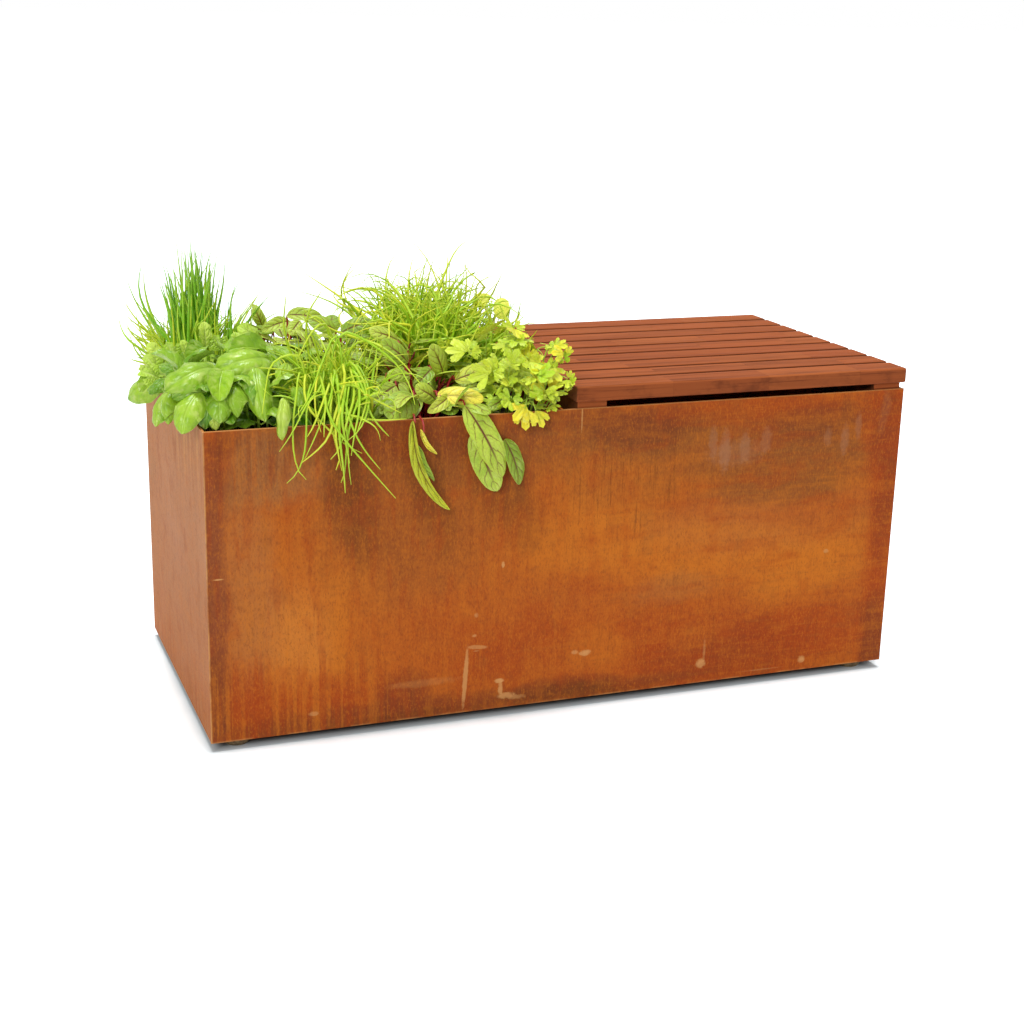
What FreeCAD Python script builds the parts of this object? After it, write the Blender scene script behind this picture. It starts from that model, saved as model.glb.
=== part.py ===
import FreeCAD, Part
import os
import re
import Sketcher

# A steel planting tub whose right-hand half is closed by a lift-off seat of hardwood slats.
# Millimetres, +X along the bench towards the seat, +Y towards the rear, +Z up.
# The origin is on the ground under the middle of the tub.

# Driving dimensions: name, value, meaning
SIZES = [
    ("tub_length", 1000, "outside length of the tub, along X"),
    ("tub_depth", 450, "outside depth of the tub, along Y"),
    ("tub_height", 413, "height of the tub's side sheets"),
    ("gauge", 3, "thickness of every sheet and angle"),
    ("edge_break", 0.6, "rounding of the sheets' outer edges"),
    ("ground_gap", 12, "ground to the sheets' lower edge, feet at their usual height"),
    ("floor_recess", 20, "sheets' lower edge to the underside of the floor"),
    ("bearer_leg", 20, "leg of the angles under the floor"),
    ("bearer_count", 3, "angles under the floor, evenly spread"),
    ("weld_gap", 0.5, "cutting clearance at each end of a welded angle"),
    ("drain_diameter", 14, "drain holes in the floor"),
    ("drain_row_inset", 95, "front and rear of the tub to the rows of drain holes"),
    ("seat_length", 507, "length of the slats"),
    ("seat_overhang", 3, "how far the seat stands past the front and the rear sheet"),
    ("seat_gap", 9, "rim to the underside of the slats"),
    ("slat_width", 45, "width of a slat"),
    ("slat_least_gap", 6, "least gap between two slats"),
    ("slat_thickness", 21, "thickness of a slat"),
    ("slat_round", 3, "rounding of a slat's long edges"),
    ("slat_end_round", 2, "rounding of a slat's ends"),
    ("batten_width", 42, "width of the battens under the slats"),
    ("batten_height", 28, "height of the battens"),
    ("batten_inset", 5, "slat end to the batten"),
    ("batten_clearance", 2, "batten end to the tub's inner face"),
    ("batten_round", 1.5, "rounding of the battens' long lower edges"),
    ("seat_clearance", 0.3, "batten to the rail that carries it"),
    ("screw_diameter", 5, "shank of the slat screws"),
    ("screw_head_diameter", 9.5, "countersunk head of the slat screws"),
    ("screw_head_height", 3, "height of the countersunk head"),
    ("screw_recess", 0.5, "batten underside to the top of the head"),
    ("screw_bite", 14, "how deep a screw enters the slat"),
    ("screw_clearance", 0.15, "hole past the screw, all round"),
    ("rail_leg", 30, "leg of the angles that carry the seat"),
    ("divider_setback", 2, "seat's left end to the divider"),
    ("divider_drop", 8, "rim to the top of the divider"),
    ("soil_drop", 25, "rim to the top of the soil"),
    ("gravel_depth", 50, "thickness of the drainage layer"),
    ("fleece_thickness", 2, "filter fleece between gravel and soil"),
    ("foot_inset_x", 38, "end of the tub to a foot's axis"),
    ("foot_inset_y", 27, "front or rear of the tub to a foot's axis"),
    ("pad_diameter", 36, "foot pad at its top"),
    ("pad_base_diameter", 30, "foot pad where it meets the ground"),
    ("pad_height", 13, "height of the foot pad"),
    ("pad_flank", 4, "height over which the pad's side slopes in"),
    ("pad_socket_depth", 8, "depth of the pad's socket"),
    ("spin_clearance", 0.05, "running clearance of the stud, all round"),
    ("stud_diameter", 10, "threaded stud of a foot"),
    ("stud_top", 50, "ground to the top of the stud"),
    ("hex_flats", 17, "hexagon of the stud, across flats"),
    ("hex_height", 6, "height of the hexagon"),
    ("hex_clearance", 0.3, "pad to the hexagon above it"),
    ("bush_diameter", 20, "barrel of the welded bush"),
    ("bush_flange_diameter", 30, "flange of the bush under the floor"),
    ("bush_length", 32, "barrel from the floor's underside up"),
    ("bush_cap", 4, "closed end of the bush"),
    ("bush_clearance", 0.3, "floor and gravel to the bush, all round"),
    ("plant_gap", 2, "between neighbouring plants"),
    ("plant_overhang", 8, "how far leaves stand past the tub's sheets"),
    ("plant_root", 5, "depth below the soil of a plant's rounded underside"),
    ("drape_thickness", 11, "stems and leaves that hang over the front rim"),
    ("drape_gap", 1, "front sheet to what hangs in front of it"),
    ("drape_rise", 45, "how far above the rim the hanging stems begin"),
    ("chives_drop", 100, "how far the front chives hang below the rim"),
    ("sorrel_drop", 118, "how far the sorrel leaves hang below the rim"),
]

# Places that follow from the driving dimensions
PLACES = {
    "half_length": "tub_length / 2",
    "half_depth": "tub_depth / 2",
    "inner_depth": "tub_depth - 2 * gauge",
    "rim": "ground_gap + tub_height",
    "floor_under": "ground_gap + floor_recess",
    "floor_top": "floor_under + gauge",
    "floor_bay": "tub_length / (bearer_count + 1)",
    "slat_under": "rim + seat_gap",
    "seat_left": "half_length - seat_length",
    "seat_depth": "tub_depth + 2 * seat_overhang",
    "slat_pitch": "(seat_depth - slat_width) / (slat_count - 1)",
    "slat_count": "floor((seat_depth + slat_least_gap) / (slat_width + slat_least_gap))",
    "first_slat": "slat_width / 2 - half_depth - seat_overhang",
    "batten_under": "slat_under - batten_height",
    "batten_left": "seat_left + batten_inset",
    "batten_right": "half_length - batten_inset - batten_width",
    "rail_top": "batten_under - seat_clearance",
    "divider_right": "seat_left - divider_setback",
    "divider_left": "divider_right - gauge",
    "bed_left": "gauge - half_length",
    "bed_length": "divider_left - bed_left",
    "soil_top": "rim - soil_drop",
    "gravel_top": "floor_top + gravel_depth",
    "soil_bottom": "gravel_top + fleece_thickness",
    "screw_length": "batten_height - screw_recess + screw_bite",
    "foot_x": "half_length - foot_inset_x",
    "foot_y": "half_depth - foot_inset_y",
    "bush_top": "floor_under + bush_length",
    "hex_bottom": "pad_height + hex_clearance",
}

NAMES = {name for name, value, meaning in SIZES}

document = FreeCAD.newDocument("bench_with_planter")
sheet = document.addObject("Spreadsheet::Sheet", "Dims")
parts = []


def write_sheet():
    """Put the driving dimensions in a sheet, one row each."""
    for row, (name, value, meaning) in enumerate(SIZES, 1):
        sheet.set("A%d" % row, name)
        sheet.set("B%d" % row, str(value))
        sheet.set("C%d" % row, meaning)
        sheet.setAlias("B%d" % row, name)
    document.recompute()


def count_slats():
    """As many slats as fit across the seat with at least the least gap between them."""
    across = sheet.tub_depth + 2 * sheet.seat_overhang + sheet.slat_least_gap
    return int(across / (sheet.slat_width + sheet.slat_least_gap))


def formula(text):
    """Write out a formula of plain names as one that reads the sheet."""

    def swap(match):
        word = match.group(0)
        if word in PLACES:
            return "(" + formula(PLACES[word]) + ")"
        return "Dims." + word if word in NAMES else word

    return re.sub(r"[a-z_]+", swap, str(text))


def place(item, x="0", y="0", z="0"):
    for axis, text in zip("xyz", (x, y, z)):
        item.setExpression("Placement.Base." + axis, formula(text))


def new_body(label, x="0", y="0", z="0"):
    body = document.addObject("PartDesign::Body", label)
    place(body, x, y, z)
    parts.append(body)
    return body


def datum(body, role):
    return next(item for item in body.Origin.OriginFeatures if item.Role == role)


def new_sketch(body, name, plane="XY_Plane", height="0"):
    """A sketch on one of the body's own planes, or height above it."""
    sketch = body.newObject("Sketcher::SketchObject", name)
    sketch.AttachmentSupport = (datum(body, plane), [""])
    sketch.MapMode = "FlatFace"
    sketch.setExpression("AttachmentOffset.Base.z", formula(height))
    return sketch


def pin_point(sketch, geometry, corner, start, x, y):
    """Hold one point of the sketch at x, y from its origin."""
    for kind, begin, text in (("DistanceX", start.x, x), ("DistanceY", start.y, y)):
        index = sketch.addConstraint(Sketcher.Constraint(kind, -1, 1, geometry, corner, begin))
        sketch.setExpression("Constraints[%d]" % index, formula(text))


def draw_polygon(sketch, corners):
    """A closed outline whose corners are pairs of formulas."""
    starts = [FreeCAD.Vector(10 + 7 * i, 5 + 3 * i * i, 0) for i in range(len(corners))]
    lines = []
    for i, start in enumerate(starts):
        line = Part.LineSegment(start, starts[(i + 1) % len(starts)])
        lines.append(sketch.addGeometry(line, False))
    for i, line in enumerate(lines):
        following = lines[(i + 1) % len(lines)]
        sketch.addConstraint(Sketcher.Constraint("Coincident", line, 2, following, 1))
    for line, start, (x, y) in zip(lines, starts, corners):
        pin_point(sketch, line, 1, start, x, y)


def draw_rectangle(sketch, low_x, low_y, high_x, high_y):
    draw_polygon(sketch, [(low_x, low_y), (high_x, low_y), (high_x, high_y), (low_x, high_y)])


def draw_circle(sketch, x, y, diameter):
    start = FreeCAD.Vector(10, 5, 0)
    circle = sketch.addGeometry(Part.Circle(start, FreeCAD.Vector(0, 0, 1), 3), False)
    pin_point(sketch, circle, 3, start, x, y)
    index = sketch.addConstraint(Sketcher.Constraint("Diameter", circle, 6))
    sketch.setExpression("Constraints[%d]" % index, formula(diameter))


def add_feature(body, kind, name, sketch, length=None, backwards=False):
    """Pad, Pocket, Revolution or Groove of a sketch. A cut has to take something away."""
    document.recompute()
    before = body.Shape.Volume if body.Tip else 0
    feature = body.newObject("PartDesign::" + kind, name)
    feature.Profile = sketch
    feature.Reversed = backwards
    if kind in ("Revolution", "Groove"):
        feature.ReferenceAxis = (sketch, ["V_Axis"])
        feature.Angle = 360
    elif length is None:
        feature.Type = "ThroughAll"
    else:
        feature.setExpression("Length", formula(length))
    document.recompute()
    if kind in ("Pocket", "Groove") and body.Shape.Volume >= before:
        raise RuntimeError(body.Label + ": " + name + " cuts nothing")
    return feature


def round_edges(body, name, size, chosen):
    """Fillet the edges for which chosen(edge, bounds) holds."""
    document.recompute()
    base = body.Tip
    bounds = base.Shape.BoundBox
    edges = ["Edge%d" % i for i, edge in enumerate(base.Shape.Edges, 1) if chosen(edge, bounds)]
    fillet = body.newObject("PartDesign::Fillet", name)
    fillet.Base = (base, edges)
    fillet.setExpression("Radius", formula(size))
    document.recompute()
    return fillet


def repeat(body, name, feature, axis, spacing, count):
    """Repeat a feature along one of the body's axes, spacing apart."""
    pattern = body.newObject("PartDesign::LinearPattern", name)
    pattern.Originals = [feature]
    pattern.Direction = (datum(body, axis), [""])
    pattern.setExpression("Occurrences", formula(count))
    pattern.setExpression("Length", formula("(%s) * (%s - 1)" % (spacing, count)))
    body.Tip = pattern
    document.recompute()
    return pattern


def on_box(edge, **sides):
    """Whether all of an edge lies on the named planes, such as z=top."""
    box = edge.BoundBox
    for axis, level in sides.items():
        low = getattr(box, axis.upper() + "Min")
        high = getattr(box, axis.upper() + "Max")
        if abs(low - level) > 1e-4 or abs(high - level) > 1e-4:
            return False
    return True


# Tub: four side sheets welded at the corners


def rim_and_corners(outer_y):
    """Edges round the outer face of a front or rear sheet."""

    def chosen(edge, box):
        outer = box.YMin if outer_y < 0 else box.YMax
        upright = on_box(edge, x=box.XMin, y=outer) or on_box(edge, x=box.XMax, y=outer)
        return upright or on_box(edge, z=box.ZMax, y=outer) or on_box(edge, z=box.ZMin, y=outer)

    return chosen


def long_sheet(label, side):
    """The front sheet, side -1, or the rear sheet, side 1."""
    low = "-half_depth" if side < 0 else "half_depth - gauge"
    body = new_body(label, "-half_length", low, "ground_gap")
    outline = new_sketch(body, "outline_" + label)
    draw_rectangle(outline, "0", "0", "tub_length", "gauge")
    add_feature(body, "Pad", "sheet_" + label, outline, "tub_height")
    round_edges(body, "edges_" + label, "edge_break", rim_and_corners(side))


def end_sheet(label, low_x, side):
    body = new_body(label, low_x, "-half_depth + gauge", "ground_gap")
    outline = new_sketch(body, "outline_" + label)
    draw_rectangle(outline, "0", "0", "gauge", "inner_depth")
    add_feature(body, "Pad", "sheet_" + label, outline, "tub_height")

    def chosen(edge, box):
        outer = box.XMin if side < 0 else box.XMax
        return on_box(edge, z=box.ZMax, x=outer) or on_box(edge, z=box.ZMin, x=outer)

    round_edges(body, "edges_" + label, "edge_break", chosen)


def divider():
    body = new_body("divider_panel", "divider_left", "-half_depth + gauge", "floor_top")
    outline = new_sketch(body, "outline_divider")
    draw_rectangle(outline, "0", "0", "gauge", "inner_depth")
    add_feature(body, "Pad", "sheet_divider", outline, "rim - divider_drop - floor_top")


def feet_places():
    """Name and signs of the four feet."""
    for end, x_side in (("left", -1), ("right", 1)):
        for face, y_side in (("front", -1), ("rear", 1)):
            yield face + "_" + end, x_side, y_side


def floor():
    body = new_body("floor_panel", "0", "0", "floor_under")
    outline = new_sketch(body, "outline_floor")
    reach_x, reach_y = "half_length - gauge", "half_depth - gauge"
    draw_rectangle(outline, "-(" + reach_x + ")", "-(" + reach_y + ")", reach_x, reach_y)
    add_feature(body, "Pad", "sheet_floor", outline, "gauge")
    seats = new_sketch(body, "bush_seats")
    for name, x_side, y_side in feet_places():
        hole = "bush_diameter + 2 * bush_clearance"
        draw_circle(seats, "%d * foot_x" % x_side, "%d * foot_y" % y_side, hole)
    add_feature(body, "Pocket", "bush_holes", seats, backwards=True)
    drains = new_sketch(body, "first_drains")
    for y_side in (-1, 1):
        y = "%d * (half_depth - drain_row_inset)" % y_side
        draw_circle(drains, "floor_bay / 2 - half_length", y, "drain_diameter")
    first = add_feature(body, "Pocket", "drain_holes", drains, backwards=True)
    repeat(body, "drain_rows", first, "X_Axis", "floor_bay", "(bearer_count + 1)")


def angle_profile(leg, towards):
    """Corners of an angle whose flat leg is on top and runs towards +X or -X."""
    return [
        ("0", "0"),
        ("%d * %s" % (towards, leg), "0"),
        ("%d * %s" % (towards, leg), "-gauge"),
        ("%d * gauge" % towards, "-gauge"),
        ("%d * gauge" % towards, "-" + leg),
        ("0", "-" + leg),
    ]


def angle_bar(label, x, z, leg, towards):
    body = new_body(label, x, "-half_depth + gauge + weld_gap", z)
    profile = new_sketch(body, "profile_" + label, "XZ_Plane")
    draw_polygon(profile, angle_profile(leg, towards))
    add_feature(body, "Pad", "bar_" + label, profile, "inner_depth - 2 * weld_gap", backwards=True)


def bearers():
    """Angles under the floor, with the drain holes midway between them."""
    for number in range(1, int(sheet.bearer_count) + 1):
        x = "%d * floor_bay - half_length" % number
        angle_bar("floor_bearer_%d" % number, x, "floor_under", "bearer_leg", 1)


# Feet: bush welded into the floor, stud that turns in it, pad that the stud turns on


def foot_bush(name, x, y):
    body = new_body("foot_bush_" + name, x, y)
    profile = new_sketch(body, "profile_bush_" + name, "XZ_Plane")
    bore = "stud_diameter / 2 + spin_clearance"
    flange_under = "floor_under - gauge"
    corners = [
        (bore, flange_under),
        ("bush_flange_diameter / 2", flange_under),
        ("bush_flange_diameter / 2", "floor_under"),
        ("bush_diameter / 2", "floor_under"),
        ("bush_diameter / 2", "bush_top"),
        ("0", "bush_top"),
        ("0", "bush_top - bush_cap"),
        (bore, "bush_top - bush_cap"),
    ]
    draw_polygon(profile, corners)
    add_feature(body, "Revolution", "turned_bush_" + name, profile)


def foot_stud(name, x, y):
    body = new_body("foot_stud_" + name, x, y)
    shank = new_sketch(body, "shank_" + name, height="pad_height - pad_socket_depth + hex_clearance")
    draw_circle(shank, "0", "0", "stud_diameter")
    length = "stud_top - pad_height + pad_socket_depth - hex_clearance"
    add_feature(body, "Pad", "shank_bar_" + name, shank, length)
    hexagon = new_sketch(body, "hexagon_" + name, height="hex_bottom")
    corner, half = "hex_flats / sqrt(3)", "hex_flats / 2"
    outline = [(corner, "0"), (corner + " / 2", half), ("-" + corner + " / 2", half)]
    outline += [("-" + corner, "0"), ("-" + corner + " / 2", "-" + half), (corner + " / 2", "-" + half)]
    draw_polygon(hexagon, outline)
    add_feature(body, "Pad", "hexagon_bar_" + name, hexagon, "hex_height")


def foot_pad(name, x, y):
    body = new_body("foot_pad_" + name, x, y)
    profile = new_sketch(body, "profile_pad_" + name, "XZ_Plane")
    socket = "stud_diameter / 2 + spin_clearance"
    corners = [
        ("0", "0"),
        ("pad_base_diameter / 2", "0"),
        ("pad_diameter / 2", "pad_flank"),
        ("pad_diameter / 2", "pad_height"),
        (socket, "pad_height"),
        (socket, "pad_height - pad_socket_depth"),
        ("0", "pad_height - pad_socket_depth"),
    ]
    draw_polygon(profile, corners)
    add_feature(body, "Revolution", "turned_pad_" + name, profile)

    def rim_of_pad(edge, box):
        return on_box(edge, z=box.ZMax) and edge.BoundBox.XLength > box.XLength / 2

    round_edges(body, "pad_rim_" + name, "pad_flank / 2", rim_of_pad)


# Seat: slats on two battens, screwed from below


def slat(number):
    y = "first_slat + %d * slat_pitch" % (number - 1)
    body = new_body("slat_%d" % number, "seat_left", y, "slat_under")
    outline = new_sketch(body, "outline_slat_%d" % number)
    draw_rectangle(outline, "0", "-slat_width / 2", "seat_length", "slat_width / 2")
    add_feature(body, "Pad", "board_slat_%d" % number, outline, "slat_thickness")

    def long_edge(edge, box):
        return edge.BoundBox.XLength > box.XLength / 2

    round_edges(body, "long_edges_slat_%d" % number, "slat_round", long_edge)

    def end_edge(edge, box):
        return on_box(edge, x=box.XMin) or on_box(edge, x=box.XMax)

    round_edges(body, "end_edges_slat_%d" % number, "slat_end_round", end_edge)
    pilots = new_sketch(body, "pilots_slat_%d" % number)
    for low in ("batten_left", "batten_right"):
        hole = "screw_diameter + 2 * screw_clearance"
        draw_circle(pilots, low + " + batten_width / 2 - seat_left", "0", hole)
    depth = "screw_bite + screw_clearance"
    add_feature(body, "Pocket", "pilot_holes_slat_%d" % number, pilots, depth, backwards=True)


def screw_profile(mouth, room):
    """Half outline of a countersunk screw, or of its hole with room all round, from mouth up."""
    head, shank = "screw_head_diameter / 2 + " + room, "screw_diameter / 2 + " + room
    top = "screw_recess + screw_length + " + room
    corners = [(head, "screw_recess"), (shank, "screw_recess + screw_head_height")]
    corners += [(shank, top), ("0", top), ("0", mouth)]
    return corners if mouth == "screw_recess" else corners + [(head, mouth)]


def batten(label, low_x):
    """A batten whose own origin is on the axis of its first screw, at its underside."""
    body = new_body(label, low_x + " + batten_width / 2", "first_slat", "batten_under")
    outline = new_sketch(body, "outline_" + label)
    front = "-half_depth + gauge + batten_clearance - first_slat"
    rear = "half_depth - gauge - batten_clearance - first_slat"
    draw_rectangle(outline, "-batten_width / 2", front, "batten_width / 2", rear)
    add_feature(body, "Pad", "bar_" + label, outline, "batten_height")

    def lower_long_edge(edge, box):
        return on_box(edge, z=box.ZMin) and edge.BoundBox.YLength > box.YLength / 2

    round_edges(body, "edges_" + label, "batten_round", lower_long_edge)
    profile = new_sketch(body, "screw_seat_" + label, "XZ_Plane")
    draw_polygon(profile, screw_profile("0", "screw_clearance"))
    first = add_feature(body, "Groove", "screw_hole_" + label, profile)
    repeat(body, "screw_holes_" + label, first, "Y_Axis", "slat_pitch", "slat_count")


def slat_screws():
    """All slat screws, as separate solids of one body."""
    body = new_body("slat_screws", "batten_left + batten_width / 2", "first_slat", "batten_under")
    profile = new_sketch(body, "profile_screw", "XZ_Plane")
    draw_polygon(profile, screw_profile("screw_recess", "0"))
    first = add_feature(body, "Revolution", "turned_screw", profile)
    pattern = repeat(body, "screw_rows", first, "Y_Axis", "slat_pitch", "slat_count")
    pattern.Direction2 = (datum(body, "X_Axis"), [""])
    pattern.setExpression("Length2", formula("batten_right - batten_left"))
    pattern.Occurrences2 = 2
    document.recompute()


# Filling of the planting half


def bed_layer(label, bottom, height):
    body = new_body(label, "bed_left", "-half_depth + gauge", bottom)
    outline = new_sketch(body, "outline_" + label)
    draw_rectangle(outline, "0", "0", "bed_length", "inner_depth")
    add_feature(body, "Pad", "fill_" + label, outline, height)
    return body


def filling():
    gravel = bed_layer("drainage_gravel", "floor_top", "gravel_depth")
    hollows = new_sketch(gravel, "bush_hollows")
    for y_side in (-1, 1):
        x = "foot_inset_x - gauge"
        y = "inner_depth / 2 + %d * foot_y" % y_side
        draw_circle(hollows, x, y, "bush_diameter + 2 * bush_clearance")
    depth = "bush_top - floor_top + bush_clearance"
    add_feature(gravel, "Pocket", "room_for_bushes", hollows, depth, backwards=True)
    bed_layer("filter_fleece", "gravel_top", "fleece_thickness")
    bed_layer("soil", "soil_bottom", "soil_top - soil_bottom")


# Plants: each is one rounded bush, flat where it stands on the soil.
# They share out the bed: name, column and row as shares of the bed's length and depth from the
# left and the front, height above the soil, and the sides on which the leaves pass the sheets
PLANTS = [
    ("basil_front_left", (0, 0.318), (0, 0.47), 165, ("left", "front")),
    ("chives_front", (0.318, 0.54), (0, 0.47), 145, ("front",)),
    ("sorrel_front", (0.54, 0.752), (0, 0.47), 130, ("front",)),
    ("parsley_front_right", (0.752, 1), (0, 0.47), 160, ("front",)),
    ("rocket_left", (0, 0.318), (0.47, 0.665), 125, ()),
    ("chives_rear_left", (0, 0.28), (0.665, 1), 205, ("rear",)),
    ("sorrel_rear", (0.318, 0.584), (0.47, 1), 120, ("rear",)),
    ("chives_rear_centre", (0.584, 0.866), (0.47, 1), 190, ("rear",)),
    ("mint_rear_right", (0.866, 1), (0.47, 1), 125, ("rear",)),
]
# Plants that hang over the front rim, and how far below it they reach
DRAPES = {"chives_front": "chives_drop", "sorrel_front": "sorrel_drop"}


def ellipsoid(name, centre, radii):
    bush = document.addObject("Part::Ellipsoid", name)
    for number, text in zip((2, 3, 1), radii):
        bush.setExpression("Radius%d" % number, formula(text))
    place(bush, *centre)
    return bush


def under_soil(name):
    """The bed below the soil's surface, which is cut off a plant."""
    block = document.addObject("Part::Box", name)
    for side, text in (
        ("Length", "bed_length"),
        ("Width", "inner_depth"),
        ("Height", "soil_top - floor_top"),
    ):
        block.setExpression(side, formula(text))
    place(block, "bed_left", "-half_depth + gauge", "floor_top")
    return block


def span(low, high):
    """Middle and half length between two places."""
    return "(%s + (%s)) / 2" % (low, high), "(%s - (%s)) / 2" % (high, low)


def plant(name, column, row, height, sides):
    low_x, high_x = ("bed_left + %g * bed_length" % share for share in column)
    low_y, high_y = ("(%g - 0.5) * inner_depth" % share for share in row)
    low_x = "-half_length - plant_overhang" if "left" in sides else low_x + " + plant_gap / 2"
    low_y = "-half_depth - plant_overhang" if "front" in sides else low_y + " + plant_gap / 2"
    high_y = "half_depth + plant_overhang" if "rear" in sides else high_y + " - plant_gap / 2"
    middle_x, half_x = span(low_x, high_x + " - plant_gap / 2")
    middle_y, half_y = span(low_y, high_y)
    middle_z, half_z = span("soil_top - plant_root", "soil_top + %g" % height)
    bush = ellipsoid("bush_" + name, (middle_x, middle_y, middle_z), (half_x, half_y, half_z))
    if name in DRAPES:
        drape_z, half_drape = span("rim - " + DRAPES[name], "rim + drape_rise")
        drape_y = "-half_depth - drape_gap - drape_thickness / 2"
        radii = (half_x, "drape_thickness / 2", half_drape)
        drape = ellipsoid("drape_" + name, (middle_x, drape_y, drape_z), radii)
        whole = document.addObject("Part::Fuse", "whole_" + name)
        whole.Base = bush
        whole.Tool = drape
        bush = whole
    cut = document.addObject("Part::Cut", "plant_" + name)
    cut.Base = bush
    cut.Tool = under_soil("under_" + name)
    parts.append(cut)


def build():
    write_sheet()
    long_sheet("front_panel", -1)
    long_sheet("rear_panel", 1)
    end_sheet("left_end_panel", "-half_length", -1)
    end_sheet("right_end_panel", "half_length - gauge", 1)
    floor()
    divider()
    angle_bar("seat_rail_left", "divider_right", "rail_top", "rail_leg", 1)
    angle_bar("seat_rail_right", "half_length - gauge", "rail_top", "rail_leg", -1)
    bearers()
    for name, x_side, y_side in feet_places():
        x, y = "%d * foot_x" % x_side, "%d * foot_y" % y_side
        foot_bush(name, x, y)
        foot_stud(name, x, y)
        foot_pad(name, x, y)
    for number in range(1, count_slats() + 1):
        slat(number)
    batten("batten_left", "batten_left")
    batten("batten_right", "batten_right")
    slat_screws()
    filling()
    for row in PLANTS:
        plant(*row)
    document.recompute()


def check():
    """Stop before anything is written if an object failed or a shape is unsound."""
    for item in document.Objects:
        if {"Invalid", "Error"} & set(item.State):
            raise RuntimeError(item.Label + " failed: " + ", ".join(item.State))
    for item in parts:
        if item.Shape.isNull() or not item.Shape.isValid():
            raise RuntimeError(item.Label + " has no valid shape")


build()
check()
os.makedirs("parts", exist_ok=True)
for item in parts:
    item.Shape.exportStep("parts/" + item.Label + ".step")
print(len(parts), "parts written")
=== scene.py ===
import math

import bmesh
import bpy
import numpy as np
from mathutils import Matrix, Vector


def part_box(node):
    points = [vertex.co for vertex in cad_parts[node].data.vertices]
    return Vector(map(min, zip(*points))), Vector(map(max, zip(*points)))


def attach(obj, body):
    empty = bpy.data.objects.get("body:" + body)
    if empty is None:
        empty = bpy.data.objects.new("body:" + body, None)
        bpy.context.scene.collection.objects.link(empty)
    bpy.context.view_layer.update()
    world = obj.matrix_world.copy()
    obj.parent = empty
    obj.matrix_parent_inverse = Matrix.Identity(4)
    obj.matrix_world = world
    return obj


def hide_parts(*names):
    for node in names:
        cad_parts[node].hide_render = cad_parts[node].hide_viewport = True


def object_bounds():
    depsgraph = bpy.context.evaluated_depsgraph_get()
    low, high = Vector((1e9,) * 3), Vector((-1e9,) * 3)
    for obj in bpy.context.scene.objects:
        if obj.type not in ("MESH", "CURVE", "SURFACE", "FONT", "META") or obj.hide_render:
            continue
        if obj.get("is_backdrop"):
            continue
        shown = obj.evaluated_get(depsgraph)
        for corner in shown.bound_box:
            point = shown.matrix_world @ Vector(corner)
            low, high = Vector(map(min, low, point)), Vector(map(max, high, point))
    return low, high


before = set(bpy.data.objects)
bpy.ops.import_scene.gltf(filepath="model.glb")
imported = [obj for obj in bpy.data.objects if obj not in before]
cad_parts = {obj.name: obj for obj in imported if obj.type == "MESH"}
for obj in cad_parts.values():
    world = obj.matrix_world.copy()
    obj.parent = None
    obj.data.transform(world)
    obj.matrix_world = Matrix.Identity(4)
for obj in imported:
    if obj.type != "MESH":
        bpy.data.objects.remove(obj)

cad_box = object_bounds()

# Places of the tub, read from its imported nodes, in metres
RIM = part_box("front_panel")[1].z
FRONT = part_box("front_panel")[0].y
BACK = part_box("rear_panel")[1].y
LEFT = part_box("left_end_panel")[0].x
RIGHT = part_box("right_end_panel")[1].x
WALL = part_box("front_panel")[1].y - FRONT
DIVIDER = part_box("divider_panel")[0].x
SOIL_LOW, SOIL_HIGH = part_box("soil")
SOIL = SOIL_HIGH.z
SLAT_LOW, SLAT_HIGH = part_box("slat_1")
SLAT_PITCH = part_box("slat_2")[0].y - SLAT_LOW.y

# What the tables below are divided by
MM = 1000
PERCENT = 100

# How far a leaf may reach: a little outside the tub, never over the seat
REACH_LEFT = LEFT - 0.045
REACH_FRONT = FRONT - 0.030
REACH_BACK = BACK + 0.030
REACH_RIGHT = DIVIDER - 0.003
REACH_UP = RIM + 0.205

# The photograph's camera
PHOTO_SIDE = 1024
FOCAL_PIXELS = 1679.6
SENSOR_WIDTH = 36.0
CAMERA_PLACE = (-0.8602, -2.2154, 0.9199)
CAMERA_YAW = 21.073
CAMERA_PITCH = 16.443
CAMERA_ROLL = 1.398


def make_camera():
    data = bpy.data.cameras.new("photo_camera")
    data.sensor_width = SENSOR_WIDTH
    data.lens = SENSOR_WIDTH * FOCAL_PIXELS / PHOTO_SIDE
    camera = bpy.data.objects.new("photo_camera", data)
    turn = Matrix.Rotation(math.radians(-CAMERA_YAW), 4, "Z")
    tip = Matrix.Rotation(math.radians(90 - CAMERA_PITCH), 4, "X")
    roll = Matrix.Rotation(math.radians(CAMERA_ROLL), 4, "Z")
    camera.matrix_world = Matrix.Translation(CAMERA_PLACE) @ turn @ tip @ roll
    bpy.context.scene.collection.objects.link(camera)
    bpy.context.scene.camera = camera


make_camera()


def math_operator(operation, reflected=False):
    """An operator of wires, which adds a Math node."""
    def operate(wire, *others):
        sides = (*others, wire) if reflected else (wire, *others)
        return wire.node("ShaderNodeMath", {"operation": operation}, dict(enumerate(sides)))
    return operate


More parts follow.
